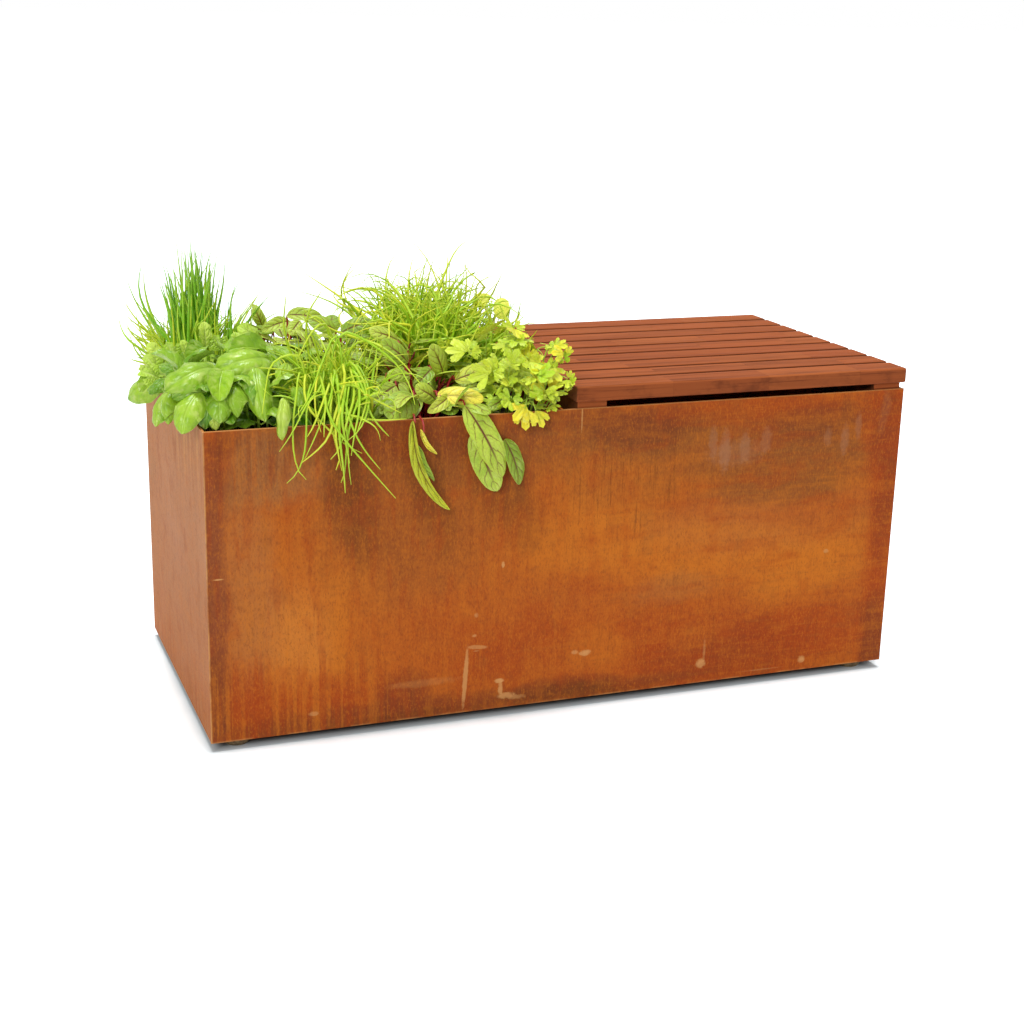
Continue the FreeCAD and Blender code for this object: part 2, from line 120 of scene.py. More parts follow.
class Wire:
    """A socket of a node tree. Arithmetic on wires adds Math nodes, so node maths reads as Python."""

    def __init__(self, tree, socket=None):
        self.tree = tree
        self.socket = socket

    def node(self, kind, settings=None, values=None, output=0):
        """Adds a node, sets its settings, then gives its sockets values or links."""
        made = self.tree.nodes.new(kind)
        for name, setting in (settings or {}).items():
            setattr(made, name, setting)
        for name, value in (values or {}).items():
            if isinstance(value, Wire):
                self.tree.links.new(value.socket, made.inputs[name])
            else:
                made.inputs[name].default_value = value
        return Wire(self.tree, made.outputs[output]) if len(made.outputs) else None

    def beside(self, output):
        """Another output of the node that this wire comes from."""
        return Wire(self.tree, self.socket.node.outputs[output])

    __add__ = math_operator("ADD")
    __radd__ = math_operator("ADD", True)
    __sub__ = math_operator("SUBTRACT")
    __rsub__ = math_operator("SUBTRACT", True)
    __mul__ = math_operator("MULTIPLY")
    __rmul__ = math_operator("MULTIPLY", True)
    __truediv__ = math_operator("DIVIDE")
    __rtruediv__ = math_operator("DIVIDE", True)
    __mod__ = math_operator("FLOORED_MODULO")
    __rmod__ = math_operator("FLOORED_MODULO", True)
    __abs__ = math_operator("ABSOLUTE")
    __lt__ = math_operator("LESS_THAN")
    __gt__ = math_operator("GREATER_THAN")
    floor = math_operator("FLOOR")
    larger = math_operator("MAXIMUM")

    def rise(self, low, high):
        """0 below low, 1 above high, and smooth between them; low may be the larger."""
        values = {0: self, 1: low, 2: high}
        return self.node("ShaderNodeMapRange", {"interpolation_type": "SMOOTHSTEP"}, values)

    def mix(self, low, high):
        """The colour low where this wire is 0 and high where it is 1."""
        return self.node("ShaderNodeMix", {"data_type": "RGBA"}, {0: self, 6: low, 7: high}, 2)

    def split(self):
        first = self.node("ShaderNodeSeparateXYZ", values={0: self})
        return first, first.beside(1), first.beside(2)

    def join(self, x, y, z):
        return self.node("ShaderNodeCombineXYZ", values={0: x, 1: y, 2: z})

    def noise(self, scale, detail=3.0, roughness=0.55, squeeze=None):
        """Noise at this wire's place, from about 0.3 to 0.7, drawn out along an axis squeezed below 1."""
        place = self
        if squeeze:
            place = self.node("ShaderNodeVectorMath", {"operation": "MULTIPLY"}, {0: self, 1: squeeze})
        values = {"Vector": place, "Scale": scale, "Detail": detail, "Roughness": roughness}
        return self.node("ShaderNodeTexNoise", values=values)

    def attribute(self, name):
        return self.node("ShaderNodeAttribute", {"attribute_name": name}, output="Fac")


def paint(red, green, blue):
    """A colour as it looks on a screen, 0 to 255, as the linear colour that the shaders use."""
    shown = (np.array([red, green, blue]) / 255.0).tolist()
    linear = [c / 12.92 if c <= 0.04045 else ((c + 0.055) / 1.055) ** 2.4 for c in shown]
    return (*linear, 1.0)


def new_finish(name):
    """An empty material, and a wire at the place of its surface on the object."""
    material = bpy.data.materials.new(name)
    material.use_nodes = True
    material.node_tree.nodes.clear()
    return material, Wire(material.node_tree).node("ShaderNodeTexCoord", output="Object")


def close_finish(material, colour, roughness, bump, gloss=0.5, metallic=0.0, glow=None):
    """Ends a material. A bump is its height, depth and strength, and a glow is its share and its colour."""
    start = Wire(material.node_tree)
    height, depth, strength = bump
    relief = {"Height": height, "Distance": depth, "Strength": strength}
    values = {
        "Base Color": colour,
        "Metallic": metallic,
        "Roughness": roughness,
        "Specular IOR Level": gloss,
        "Normal": start.node("ShaderNodeBump", values=relief),
    }
    shader = start.node("ShaderNodeBsdfPrincipled", values=values)
    if glow:
        share, through_colour = glow
        through = start.node("ShaderNodeBsdfTranslucent", values={"Color": through_colour})
        shader = start.node("ShaderNodeMixShader", values={0: share, 1: shader, 2: through})
    start.node("ShaderNodeOutputMaterial", values={"Surface": shader})
    return material


def coated(colour, coats):
    """A colour under several coats: where each one lies, its share there, and its colour."""
    for where, share, coat in coats:
        colour = (where * share).mix(colour, coat)
    return colour


# Light: a white studio with a high lamp a little behind, so that the shadow hugs the tub's foot
SKY_LEVEL = 0.26
TOP_LEVEL = 2.45
TOP_FROM = (0.0, 0.05, 1.0)
FILL_LEVEL = 1.58
FILL_FROM = (-0.75, -1.0, 0.66)
LAMP_SPREAD = 20.0
FLOOR_HALF = 400.0
FLOOR_SHOWN = (1.32, 1.42, 1.46)
FLOOR_BOUNCE = 0.75
# The painted shadow on the floor round the tub's foot: its darkest share, and where it fades, from inside the
# tub's sides to just outside them, in metres
FOOTPRINT_SHADE = 0.09
FOOTPRINT_EDGE = (-0.036, 0.014)


def seen_directly(start):
    """1 for the rays that show the background: from the camera, a reflection or through glass."""
    camera_ray = start.node("ShaderNodeLightPath")
    mirror_ray = camera_ray.beside("Is Glossy Ray")
    return camera_ray.larger(mirror_ray.larger(camera_ray.beside("Is Transmission Ray")))


def make_sky():
    world = bpy.data.worlds.new("studio")
    world.use_nodes = True
    world.node_tree.nodes.clear()
    start = Wire(world.node_tree)
    level = seen_directly(start) * (1 - SKY_LEVEL) + SKY_LEVEL
    white = (1.0, 1.0, 1.0, 1.0)
    sky = start.node("ShaderNodeBackground", values={"Color": white, "Strength": level})
    start.node("ShaderNodeOutputWorld", values={"Surface": sky})
    bpy.context.scene.world = world


def make_lamp(name, toward, level):
    """A far lamp that shines from the direction toward."""
    data = bpy.data.lights.new(name, "SUN")
    data.energy = level
    data.angle = math.radians(LAMP_SPREAD)
    lamp = bpy.data.objects.new(name, data)
    lamp.rotation_mode = "QUATERNION"
    lamp.rotation_quaternion = Vector(toward).to_track_quat("Z", "Y")
    bpy.context.scene.collection.objects.link(lamp)


def make_floor():
    """A white floor that shows clean white, with a painted shadow that darkens its colour under the tub,
    where no light gets to it, and fades out just beyond the tub's foot.
    """
    mesh = bpy.data.meshes.new("floor")
    sides = (-FLOOR_HALF, FLOOR_HALF)
    corners = [(x, y, 0) for x in sides for y in sides]
    mesh.from_pydata(corners, [], [(0, 2, 3, 1)])
    floor = bpy.data.objects.new("floor", mesh)
    bpy.context.scene.collection.objects.link(floor)
    material, at = new_finish("white_floor")
    x, y, _ = at.split()
    # Painted shadow: the floor's colour darkens under the tub and fades out just beyond its foot
    opening = (abs(x) - RIGHT).larger(abs(y) - BACK).rise(*FOOTPRINT_EDGE)
    clear = opening * (opening * 0.5 + 0.5) * (1 - FOOTPRINT_SHADE) + FOOTPRINT_SHADE
    direct = seen_directly(at)
    levels = [(direct * (shown - FLOOR_BOUNCE) + FLOOR_BOUNCE) * clear for shown in FLOOR_SHOWN]
    matt = at.node("ShaderNodeBsdfDiffuse", values={"Color": at.join(*levels)})
    at.node("ShaderNodeOutputMaterial", values={"Surface": matt})
    mesh.materials.append(material)
    floor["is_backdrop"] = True


make_sky()
make_floor()
make_lamp("top", TOP_FROM, TOP_LEVEL)
make_lamp("fill", FILL_FROM, FILL_LEVEL)
bpy.context.scene.view_settings.view_transform = "Standard"


# Finishes
AMBER = paint(200, 113, 30)
ORANGE = paint(182, 95, 28)
RUST = paint(170, 83, 22)
BROWN = paint(136, 80, 34)
DARK_RUST_AND_SHADOW = paint(94, 50, 20)
SHADE_RUST = paint(118, 56, 26)
RED_RUST = paint(160, 62, 14)
PLUM = paint(138, 72, 40)
TAN = paint(156, 102, 56)
DULL_TAN = paint(176, 108, 54)
HAZE = paint(164, 116, 84)
PALE_RUST = paint(206, 150, 90)
PINK_TAN = paint(186, 132, 90)

# Zones of rust on the front sheet, and painted shadows of the plants below the rim: colour, centre x and z
# and half sizes in mm, strength in percent
PATINA_AND_SHADOW_ZONES = [
    (AMBER, -385, 155, 60, 110, 100),
    (PALE_RUST, -385, 150, 40, 70, 16),
    (ORANGE, -380, 262, 60, 60, 70),
    (DULL_TAN, -448, 205, 30, 130, 75),
    (ORANGE, -210, 155, 90, 60, 55),
    (ORANGE, -115, 245, 60, 50, 60),
    (AMBER, 14, 240, 90, 45, 70),
    (AMBER, 170, 205, 110, 45, 75),
    (AMBER, 355, 190, 85, 65, 90),
    (AMBER, 50, 315, 75, 55, 60),
    (DULL_TAN, 290, 250, 140, 40, 35),
    (BROWN, -235, 300, 110, 100, 50),
    (BROWN, -150, 370, 130, 40, 60),
    # Darker along the rim under the plants: partly rust, partly a painted shadow of the plants
    (SHADE_RUST, -240, 405, 160, 30, 80),
    # Painted shadows of the hanging leaves and blades on the sheet
    (DARK_RUST_AND_SHADOW, -316, 345, 30, 60, 65),
    (DARK_RUST_AND_SHADOW, -302, 285, 18, 50, 45),
    (DARK_RUST_AND_SHADOW, -208, 335, 22, 45, 60),
    (DARK_RUST_AND_SHADOW, -190, 280, 16, 40, 35),
    (DARK_RUST_AND_SHADOW, -112, 330, 32, 40, 55),
    (DARK_RUST_AND_SHADOW, -78, 280, 22, 40, 30),
    (TAN, -430, 372, 65, 42, 95),
    (RED_RUST, -484, 388, 14, 45, 65),
    (BROWN, -20, 390, 90, 26, 75),
    (BROWN, 100, 384, 75, 26, 95),
    (BROWN, 230, 358, 80, 40, 75),
    (BROWN, 370, 350, 95, 44, 85),
    (BROWN, 315, 292, 100, 20, 80),
    (BROWN, 60, 330, 80, 40, 35),
    (RED_RUST, 300, 410, 220, 16, 50),
    (RED_RUST, 478, 355, 26, 80, 85),
    (RED_RUST, 484, 210, 20, 130, 80),
    (PINK_TAN, 468, 392, 6, 26, 30),
    (RED_RUST, 446, 388, 12, 34, 60),
    (BROWN, 412, 392, 10, 24, 45),
    (RED_RUST, 245, 55, 150, 42, 90),
    (SHADE_RUST, 245, 60, 100, 30, 35),
    (RED_RUST, 110, 105, 110, 35, 50),
    (RED_RUST, 370, 80, 80, 35, 60),
    (RED_RUST, 30, 165, 60, 28, 35),
    (RED_RUST, -150, 120, 90, 50, 30),
    (RED_RUST, -30, 90, 120, 45, 40),
    (AMBER, 40, 85, 45, 30, 50),
    (RED_RUST, 478, 60, 24, 60, 80),
    (SHADE_RUST, 484, 50, 20, 60, 75),
    (RED_RUST, 372, 250, 60, 22, 40),
    (RED_RUST, -455, 70, 35, 45, 50),
    (RED_RUST, -380, 45, 120, 34, 75),
    (SHADE_RUST, -246, 45, 34, 34, 75),
    (SHADE_RUST, -270, 24, 200, 16, 80),
    (DARK_RUST_AND_SHADOW, -260, 14, 100, 8, 50),
    (SHADE_RUST, 40, 30, 130, 10, 70),
    (PLUM, -487, 260, 15, 110, 100),
    (PLUM, -492, 90, 14, 110, 95),
    (SHADE_RUST, -472, 408, 20, 16, 50),
    (SHADE_RUST, 88, 393, 64, 22, 85),
    (SHADE_RUST, -30, 412, 70, 14, 55),
    (SHADE_RUST, 366, 388, 75, 22, 60),
    (SHADE_RUST, 476, 366, 18, 50, 45),
    (SHADE_RUST, -494, 73, 12, 55, 55),
    (SHADE_RUST, 484, 250, 16, 60, 40),
    (ORANGE, 198, 85, 40, 18, 45),
    (ORANGE, 40, 155, 70, 30, 50),
    (ORANGE, -107, 168, 60, 35, 50),
    (AMBER, -315, 190, 40, 40, 30),
    (DARK_RUST_AND_SHADOW, -10, 22, 80, 11, 60),
    (DARK_RUST_AND_SHADOW, 60, 18, 60, 8, 45),
    (TAN, 150, 158, 55, 18, 34),
    (SHADE_RUST, -470, 408, 12, 12, 40),
    (SHADE_RUST, -490, 66, 16, 70, 65),
    (SHADE_RUST, -498, 270, 5, 80, 55),
]

# Small pale marks: rubs, drips and dull smears, in the same measures
PALE_MARKS = [
    (HAZE, 200, 366, 6, 22, 34),
    (HAZE, 219, 352, 8, 26, 44),
    (HAZE, 250, 356, 7, 21, 34),
    (HAZE, 283, 364, 8, 17, 28),
    (HAZE, 381, 362, 6, 13, 28),
    (HAZE, 409, 355, 6, 21, 38),
    (HAZE, 430, 375, 5, 17, 30),
    (HAZE, 235, 348, 40, 18, 22),
    (PALE_RUST, 20, 78, 8, 4, 80),
    (PALE_RUST, 4, 81, 5, 3, 55),
    (PALE_RUST, 200, 41, 7, 6, 80),
    (PALE_RUST, 205, 60, 2, 18, 35),
    (PALE_RUST, 365, 28, 5, 5, 80),
    (PALE_RUST, 393, 192, 4, 3, 55),
    (PALE_RUST, -486, 234, 6, 1, 95),
    (PALE_RUST, -104, 218, 2, 4, 80),
    (PALE_RUST, -141, 150, 3, 3, 50),
    (PALE_RUST, -143, 121, 3, 2, 60),
    (PALE_RUST, -140, 99, 4, 1, 40),
    (PALE_RUST, -106, 52, 6, 3, 85),
    (PALE_RUST, -104, 40, 3, 10, 75),
    (PALE_RUST, -95, 29, 12, 4, 70),
    (PALE_RUST, -80, 25, 12, 3, 45),
    (PALE_RUST, -365, 37, 6, 3, 50),
    (PALE_RUST, -215, 62, 45, 5, 16),
    (PALE_RUST, 300, 20, 30, 1, 25),
    (PALE_RUST, 3, 412, 1, 16, 60),
]

# The pale print that a strip of tape left: left edge and top edge
TAPE_LEFT, TAPE_TOP = -0.155, 0.112


# How deep the face of a sheet is taken to be, in metres
SKIN = 0.0012


def patch(x, z, centre_x, centre_z, half_x, half_z, soft, fray):
    """1 inside an oval on the front sheet, fading out over its outer share, soft, with a frayed edge."""
    across = (x - centre_x) / half_x
    up = (z - centre_z) / half_z
    return (across * across + up * up + fray).rise(1.0 + soft, 1.0 - soft)


def weathering_steel():
    material, at = new_finish("weathering_steel")
    x, y, z = at.split()
    front = y < FRONT + SKIN
    end = x < LEFT + SKIN
    plain = 1 - front
    mottle = at.noise(22.0, 5.0, 0.6, (1, 1, 0.8))
    fray = (mottle - 0.5) * 1.6
    cloud = at.noise(4.5, 5.0, 0.6, (1, 1, 1.5))
    colour = (cloud * 0.75 + mottle * 0.25).rise(0.36, 0.66).mix(RUST, ORANGE)

    # The zones of the front sheet, drawn through a warped place so that none looks like an oval
    warp = at.noise(9.0, 3.0, 0.5)
    zone_x = x + (warp - 0.5) * 0.04
    zone_z = z + (warp.beside("Color").split()[1] - 0.5) * 0.04
    for tint, centre_x, centre_z, half_x, half_z, strength in PATINA_AND_SHADOW_ZONES:
        halves = (half_x / MM * 1.15, half_z / MM * 1.15)
        zone = patch(zone_x, zone_z, centre_x / MM, centre_z / MM, *halves, 1.0, fray)
        colour = (zone * front * (strength / PERCENT)).mix(colour, tint)

    # Banks and drips on the sheets that the photograph doesn't show, then the corners of the front
    drips = at.noise(110.0, 3.0, 0.6, (1, 1, 0.03))
    bank = at.noise(5.0, 4.0, 0.55, (1, 1, 1.3)) + (mottle - 0.5) * 0.25
    low_left = patch(x, z, -0.40, 0.05, 0.15, 0.070, 0.9, fray) * front
    top_left = patch(x, z, -0.45, 0.395, 0.06, 0.05, 0.8, fray) * front
    colour = coated(colour, [
        (plain * bank.rise(0.50, 0.64), 0.80, BROWN),
        (plain * bank.rise(0.47, 0.34), 0.80, AMBER),
        (plain * z.rise(0.20, 0.42) * drips.rise(0.48, 0.62), 0.55, SHADE_RUST),
        (plain * z.rise(0.16, 0.02) * drips.rise(0.52, 0.40), 0.45, RED_RUST),
        (low_left * drips.rise(0.48, 0.62), 0.52, AMBER),
        (low_left * drips.rise(0.50, 0.38), 0.65, RED_RUST),
        (top_left * drips.rise(0.46, 0.62), 0.50, ORANGE),
        (top_left * drips.rise(0.50, 0.36), 0.50, SHADE_RUST),
    ])

    # The left end sheet, painted paler and pinker as a painted sheen of the light that glances off it, and
    # darker towards its foot, with runs near its front corner and drips at its foot
    runs = at.noise(60.0, 3.0, 0.6, (1, 1, 0.05))
    near_corner = z.rise(0.28, 0.40) * y.rise(0.04, -0.08)
    colour = coated(colour, [
        (end, 0.80, PINK_TAN),
        (end * near_corner * runs.rise(0.48, 0.58), 0.80, PALE_RUST),
        (end * near_corner * runs.rise(0.46, 0.36), 0.40, RUST),
        (end * z.rise(0.28, 0.05), 0.78, DULL_TAN),
        (end * mottle.rise(0.50, 0.34), 0.26, RUST),
        (end * z.rise(0.11, 0.01) * drips.rise(0.52, 0.42), 0.55, RUST),
        (end * mottle.rise(0.52, 0.70), 0.25, PALE_RUST),
    ])

    # Grain all over: upright streaks and falls, brushed and wiped bands, specks and blots
    streaks = at.noise(190.0, 5.0, 0.7, (1, 1, 0.08))
    hairs = at.noise(420.0, 2.0, 0.5, (1, 1, 0.03)).rise(0.56, 0.70)
    brushed = at.noise(170.0, 4.0, 0.65, (0.06, 0.06, 1))
    wiped = at.noise(40.0, 4.0, 0.6, (0.22, 0.22, 1))
    fallen = at.noise(62.0, 4.0, 0.6, (1, 1, 0.14))
    speck = at.noise(430.0, 5.0, 0.8, (1, 1, 0.45))
    blot = at.noise(75.0, 4.0, 0.7)
    streaked = (cloud.rise(0.40, 0.60) * 0.6 + 0.4) * (1 - end * 0.65)
    haired = patch(x, z, 0.07, 0.31, 0.10, 0.07, 1.0, fray)
    level_share = x.rise(-0.20, 0.25) * 0.7 + 0.3
    upright_share = (1.2 - level_share) * (1 - end * 0.7)
    colour = coated(colour, [
        (streaks.rise(0.50, 0.72) * streaked, 0.26, DARK_RUST_AND_SHADOW),
        (streaks.rise(0.48, 0.28) * streaked, 0.26, AMBER),
        (hairs * haired * front, 0.50, DARK_RUST_AND_SHADOW),
        (brushed.rise(0.52, 0.72) * level_share, 0.26, BROWN),
        (brushed.rise(0.47, 0.30) * level_share, 0.22, AMBER),
        (wiped.rise(0.50, 0.64) * level_share, 0.34, RED_RUST),
        (wiped.rise(0.48, 0.36) * level_share, 0.24, AMBER),
        (fallen.rise(0.50, 0.64) * upright_share, 0.34, RED_RUST),
        (fallen.rise(0.48, 0.36) * upright_share, 0.24, AMBER),
        (speck.rise(0.50, 0.66), 0.45, AMBER),
        (speck.rise(0.50, 0.34), 0.50, SHADE_RUST),
        (blot.rise(0.50, 0.70), 0.20, SHADE_RUST),
        (blot.rise(0.48, 0.30), 0.20, AMBER),
        (mottle.rise(0.54, 0.70), 0.28, RED_RUST),
        (mottle.rise(0.46, 0.32), 0.18, BROWN),
    ])

    # Pale marks, the print of the tape, and the rim, foot and corner painted paler: partly rubbed bare,
    # partly a painted highlight along the edges
    rough_edge = (at.noise(150.0, 4.0, 0.7) - 0.5) * 3.2
    for tint, centre_x, centre_z, half_x, half_z, strength in PALE_MARKS:
        places = (centre_x / MM, centre_z / MM, half_x / MM, half_z / MM)
        mark = patch(x, z, *places, 0.9, rough_edge)
        colour = (mark * front * (strength / PERCENT)).mix(colour, tint)
    fine_edge = rough_edge * 0.5
    upright = patch(x + (TAPE_TOP - z) * 0.06, z, TAPE_LEFT + 0.003, 0.062, 0.0032, 0.041, 0.6, fine_edge)
    tape_z = z + (x - TAPE_LEFT) * 0.10
    across = patch(x, tape_z, TAPE_LEFT + 0.016, TAPE_TOP - 0.006, 0.014, 0.0028, 0.6, fine_edge)
    foot = z.rise(0.0150, 0.0125) * mottle.rise(0.40, 0.60)
    corner = (x - LEFT).rise(0.0026, 0.0004) * (y - FRONT).rise(0.0026, 0.0004)
    colour = coated(colour, [
        (upright.larger(across * 0.7) * front, 0.7, PALE_RUST),
        (z.rise(RIM - 0.0012, RIM - 0.0004).larger(foot), 0.5, PALE_RUST),
        (corner * mottle.rise(0.40, 0.58), 0.7, PALE_RUST),
    ])
    height = streaks * 0.4 + speck * 0.8 + blot * 0.4
    return close_finish(material, colour, 0.58 + cloud * 0.25, (height, 0.0004, 0.8), 0.16)


WOOD_RED = paint(156, 80, 42)
WOOD_TAN = paint(170, 94, 50)
WOOD_BROWN = paint(134, 68, 38)
WOOD_DARK = paint(84, 42, 26)
PORE_AND_SHADE = paint(66, 32, 20)
END_GRAIN = paint(100, 62, 40)
STAVE = 0.145


def hardwood():
    """Oiled red hardwood: each slat is glued up from short staves, with its grain along X."""
    material, at = new_finish("hardwood")
    facing_x, facing_y, _ = at.beside("Normal").split()
    x, y, z = at.split()
    slat = ((y - SLAT_LOW.y + 0.002) / SLAT_PITCH).floor()
    offset = at.node("ShaderNodeTexWhiteNoise", {"noise_dimensions": "1D"}, {"W": slat})
    along = x / STAVE + offset * 7.0
    pick = at.join(slat * 3.1, along.floor() * 1.7, 0.0)
    shade = at.node("ShaderNodeTexWhiteNoise", values={"Vector": pick})
    around = at.join(x + shade * 3.0, y + slat * 0.37 + shade, z + shade * 0.6)
    figure = around.noise(1.0, 4.0, 0.6, (2.2, 26, 26))
    grain = around.noise(1.0, 3.0, 0.65, (6, 300, 300))
    rings = around.noise(1.0, 2.0, 0.5, (3, 90, 90))
    mottle = at.noise(24.0, 4.0, 0.65, (1, 1, 1.6))
    edge = (y < SLAT_LOW.y + 0.0025) * (z < SLAT_HIGH.z - 0.002)
    end = abs(facing_x).rise(0.6, 0.8)
    cut = at.join(0.0, y + shade * 0.03, z - 0.36 - shade * 0.05)
    bands = at.node("ShaderNodeVectorMath", {"operation": "LENGTH"}, {0: cut}, 1)
    in_gap = abs(facing_y).rise(0.35, 0.85) * (y > SLAT_LOW.y + 0.004) * (z > SLAT_LOW.z)
    colour = (shade * 0.7 + figure.rise(0.35, 0.6) * 0.3).mix(WOOD_RED, WOOD_TAN)
    colour = coated(colour, [
        ((shade * 13.0 % 1.0).rise(0.5, 1.0), 0.22, WOOD_BROWN),
        (figure.rise(0.44, 0.70), 0.40, WOOD_BROWN),
        (rings.rise(0.52, 0.60), 0.22, WOOD_DARK),
        (grain.rise(0.52, 0.70), 0.65, PORE_AND_SHADE),
        (grain.rise(0.45, 0.28), 0.25, WOOD_TAN),
        (edge, 0.45, WOOD_BROWN),
        (edge * mottle.rise(0.44, 0.72), 0.55, WOOD_DARK),
        (end, 0.70, END_GRAIN),
        (end * (bands * 420.0 % 1.0).rise(0.45, 0.95), 0.35, WOOD_DARK),
        (abs(along % 1.0 - 0.5).rise(0.4965, 0.4995), 0.25, PORE_AND_SHADE),
        # The faces inside the gaps between the slats: painted shade
        (in_gap, 0.85, PORE_AND_SHADE),
    ])
    bump = (grain * 0.7 + rings * 0.3, 0.0004, 0.8)
    return close_finish(material, colour, 0.55 + grain * 0.25, bump, 0.06)


def metal_finish(name, low, high, rough, metallic, spangle, depth):
    """Plain metal: a cloudy colour between low and high with fine grain."""
    material, at = new_finish(name)
    cloud = at.noise(spangle, 3.0, 0.6)
    grain = at.noise(900.0, 2.0, 0.6, (1, 1, 0.2))
    colour = cloud.rise(0.35, 0.65).mix(paint(*low), paint(*high))
    colour = (grain.rise(0.50, 0.70) * 0.25).mix(colour, paint(*low))
    return close_finish(material, colour, rough + cloud * 0.2, (grain + cloud, depth, 0.6), 0.5, metallic)


def pad_plastic():
    material, at = new_finish("pad_plastic")
    z = at.split()[2]
    dust = at.noise(140.0, 4.0, 0.65)
    grain = at.noise(1500.0, 2.0, 0.5)
    colour = dust.rise(0.38, 0.66).mix(paint(92, 76, 54), paint(142, 120, 84))
    colour = (z.rise(0.0035, 0.0) * 0.5).mix(colour, paint(128, 112, 88))
    return close_finish(material, colour, 0.62, (grain + dust, 0.0002, 0.6), 0.3)


THREAD_PITCH = 0.0015


def threaded_steel():
    """Zinc plated steel, with the thread of the foot studs as fine rings in its bump."""
    material, at = new_finish("zinc_steel")
    z = at.split()[2]
    spangle = at.noise(300.0, 3.0, 0.6)
    ridge = abs((z / THREAD_PITCH) % 1.0 - 0.5) * 2.0
    colour = spangle.rise(0.35, 0.65).mix(paint(150, 150, 146), paint(190, 190, 184))
    colour = (ridge.rise(0.6, 1.0) * 0.5).mix(colour, paint(96, 92, 84))
    return close_finish(material, colour, 0.36 + spangle * 0.2, (ridge, 0.0006, 0.9), 0.5, 0.9)


def compost():
    material, at = new_finish("compost")
    lump = at.noise(120.0, 5.0, 0.7)
    fibre = at.noise(420.0, 3.0, 0.6, (1, 0.3, 1))
    colour = lump.rise(0.35, 0.65).mix(paint(30, 22, 16), paint(64, 46, 32))
    colour = (fibre.rise(0.62, 0.74) * 0.6).mix(colour, paint(112, 84, 56))
    return close_finish(material, colour, 0.95, (lump + fibre * 0.5, 0.004, 0.9), 0.12)


def fired_clay():
    material, at = new_finish("expanded_clay")
    pebble = at.node("ShaderNodeTexVoronoi", values={"Vector": at, "Scale": 90.0})
    tone = pebble.beside("Color").split()[0]
    colour = tone.mix(paint(128, 74, 48), paint(168, 108, 74))
    colour = pebble.rise(0.25, 0.6).mix(colour, paint(58, 36, 26))
    return close_finish(material, colour, 0.9, (1 - pebble, 0.004, 1.0))


def felt():
    material, at = new_finish("fleece")
    fibre = at.noise(900.0, 3.0, 0.7, (1, 0.2, 1))
    cross = at.noise(800.0, 3.0, 0.7, (0.2, 1, 1))
    weave = fibre * 0.5 + cross * 0.5
    colour = weave.rise(0.4, 0.6).mix(paint(150, 150, 148), paint(210, 210, 206))
    return close_finish(material, colour, 0.95, (weave, 0.0006, 0.8))


PALE_GREEN = paint(214, 230, 128)
LEAF_GLOW = 0.22
STALK_GLOW = 0.15


def leaf_finish(name, colours, veins, slant, vein_share, rough, relief, painted_highlight_share, net_share=0.0):
    """A leaf: its own map runs across it in U, past 1 on the underside, and from base to tip in V."""
    deep, fresh, ripe, vein = (paint(*shown) for shown in colours)
    material, at = new_finish(name)
    u, v, _ = at.beside("UV").split()
    tint = at.attribute("tint")
    side = abs((u % 1.0) * 2.0 - 1.0)
    drift = (at.noise(110.0) - 0.5) * 0.8
    climb = side * slant + side * side * side * (slant * 0.7)
    ridge = abs((v * veins - climb * veins + drift) % 1.0 - 0.5) * 2.0
    side_vein = ridge.rise(0.82, 0.95) * side.rise(1.0, 0.60)
    midrib = side.rise(0.12, 0.03) * v.rise(1.05, 0.5)
    mottle = at.noise(70.0, 3.0, 0.6)
    painted_highlight = (1 - ridge * ridge) * side.rise(0.05, 0.35) * side.rise(1.0, 0.55)
    colour = tint.rise(0.0, 0.5).mix(deep, fresh)
    colour = coated(tint.rise(0.55, 1.0).mix(colour, ripe), [
        (mottle.rise(0.50, 0.72), 0.45, deep),
        # Pale patches on the bulges between the veins: a painted highlight
        (mottle.rise(0.52, 0.34) * painted_highlight, painted_highlight_share, PALE_GREEN),
        # Darker along the margin, fading out near the tip: painted shade
        (side.rise(0.80, 1.0) * v.rise(1.0, 0.7), 0.35, deep),
    ])
    if net_share:
        values = {"Vector": at.join(u * 9.0, v * 14.0, tint * 9.0), "Scale": 1.0}
        cell_edge = at.node("ShaderNodeTexVoronoi", {"feature": "DISTANCE_TO_EDGE"}, values)
        colour = (cell_edge.rise(0.07, 0.02) * net_share).mix(colour, vein)
    colour = coated(colour, [
        (midrib.larger(side_vein * 0.8), tint.rise(1.25, 0.75) * vein_share, vein),
        # A pale rim at the very margin: partly the leaf's own paler edge, partly painted light through the
        # thin edge
        (side.rise(0.94, 1.0), 0.35, ripe),
        (u > 1.0, 0.35, PALE_GREEN),
    ])
    ends = v.rise(0.0, 0.15) * v.rise(1.0, 0.80)
    height = ((1 - ridge * ridge) * side.rise(0.0, 0.3) * side.rise(1.0, 0.7) - midrib) * ends
    bump = (height, relief, 0.8)
    return close_finish(material, colour, rough + mottle * 0.15, bump, 0.45, glow=(LEAF_GLOW, ripe))


def stalk_finish(name, foot, body, tip, blush):
    """A stem or a chive blade, coloured from its foot to its tip."""
    foot, body, tip, blush = (paint(*shown) for shown in (foot, body, tip, blush))
    material, at = new_finish(name)
    along = at.attribute("along")
    fine = at.noise(320.0, 2.0)
    colour = along.rise(0.0, 0.35).mix(foot, body)
    colour = (along.rise(0.55, 1.0) * 0.7).mix(colour, tip)
    colour = at.attribute("tint").rise(0.4, 1.0).mix(colour, blush)
    colour = (fine.rise(0.45, 0.70) * 0.25).mix(colour, foot)
    return close_finish(material, colour, 0.42, (fine, 0.0002, 0.5), 0.4, glow=(STALK_GLOW, body))


METALS = {
    "mild_steel": dict(
        low=(70, 58, 50), high=(104, 84, 70), rough=0.5, metallic=0.6, spangle=40.0, depth=0.0003,
    ),
    "stainless_steel": dict(
        low=(168, 168, 166), high=(206, 206, 202), rough=0.24, metallic=1.0, spangle=120.0, depth=0.00015,
    ),
}

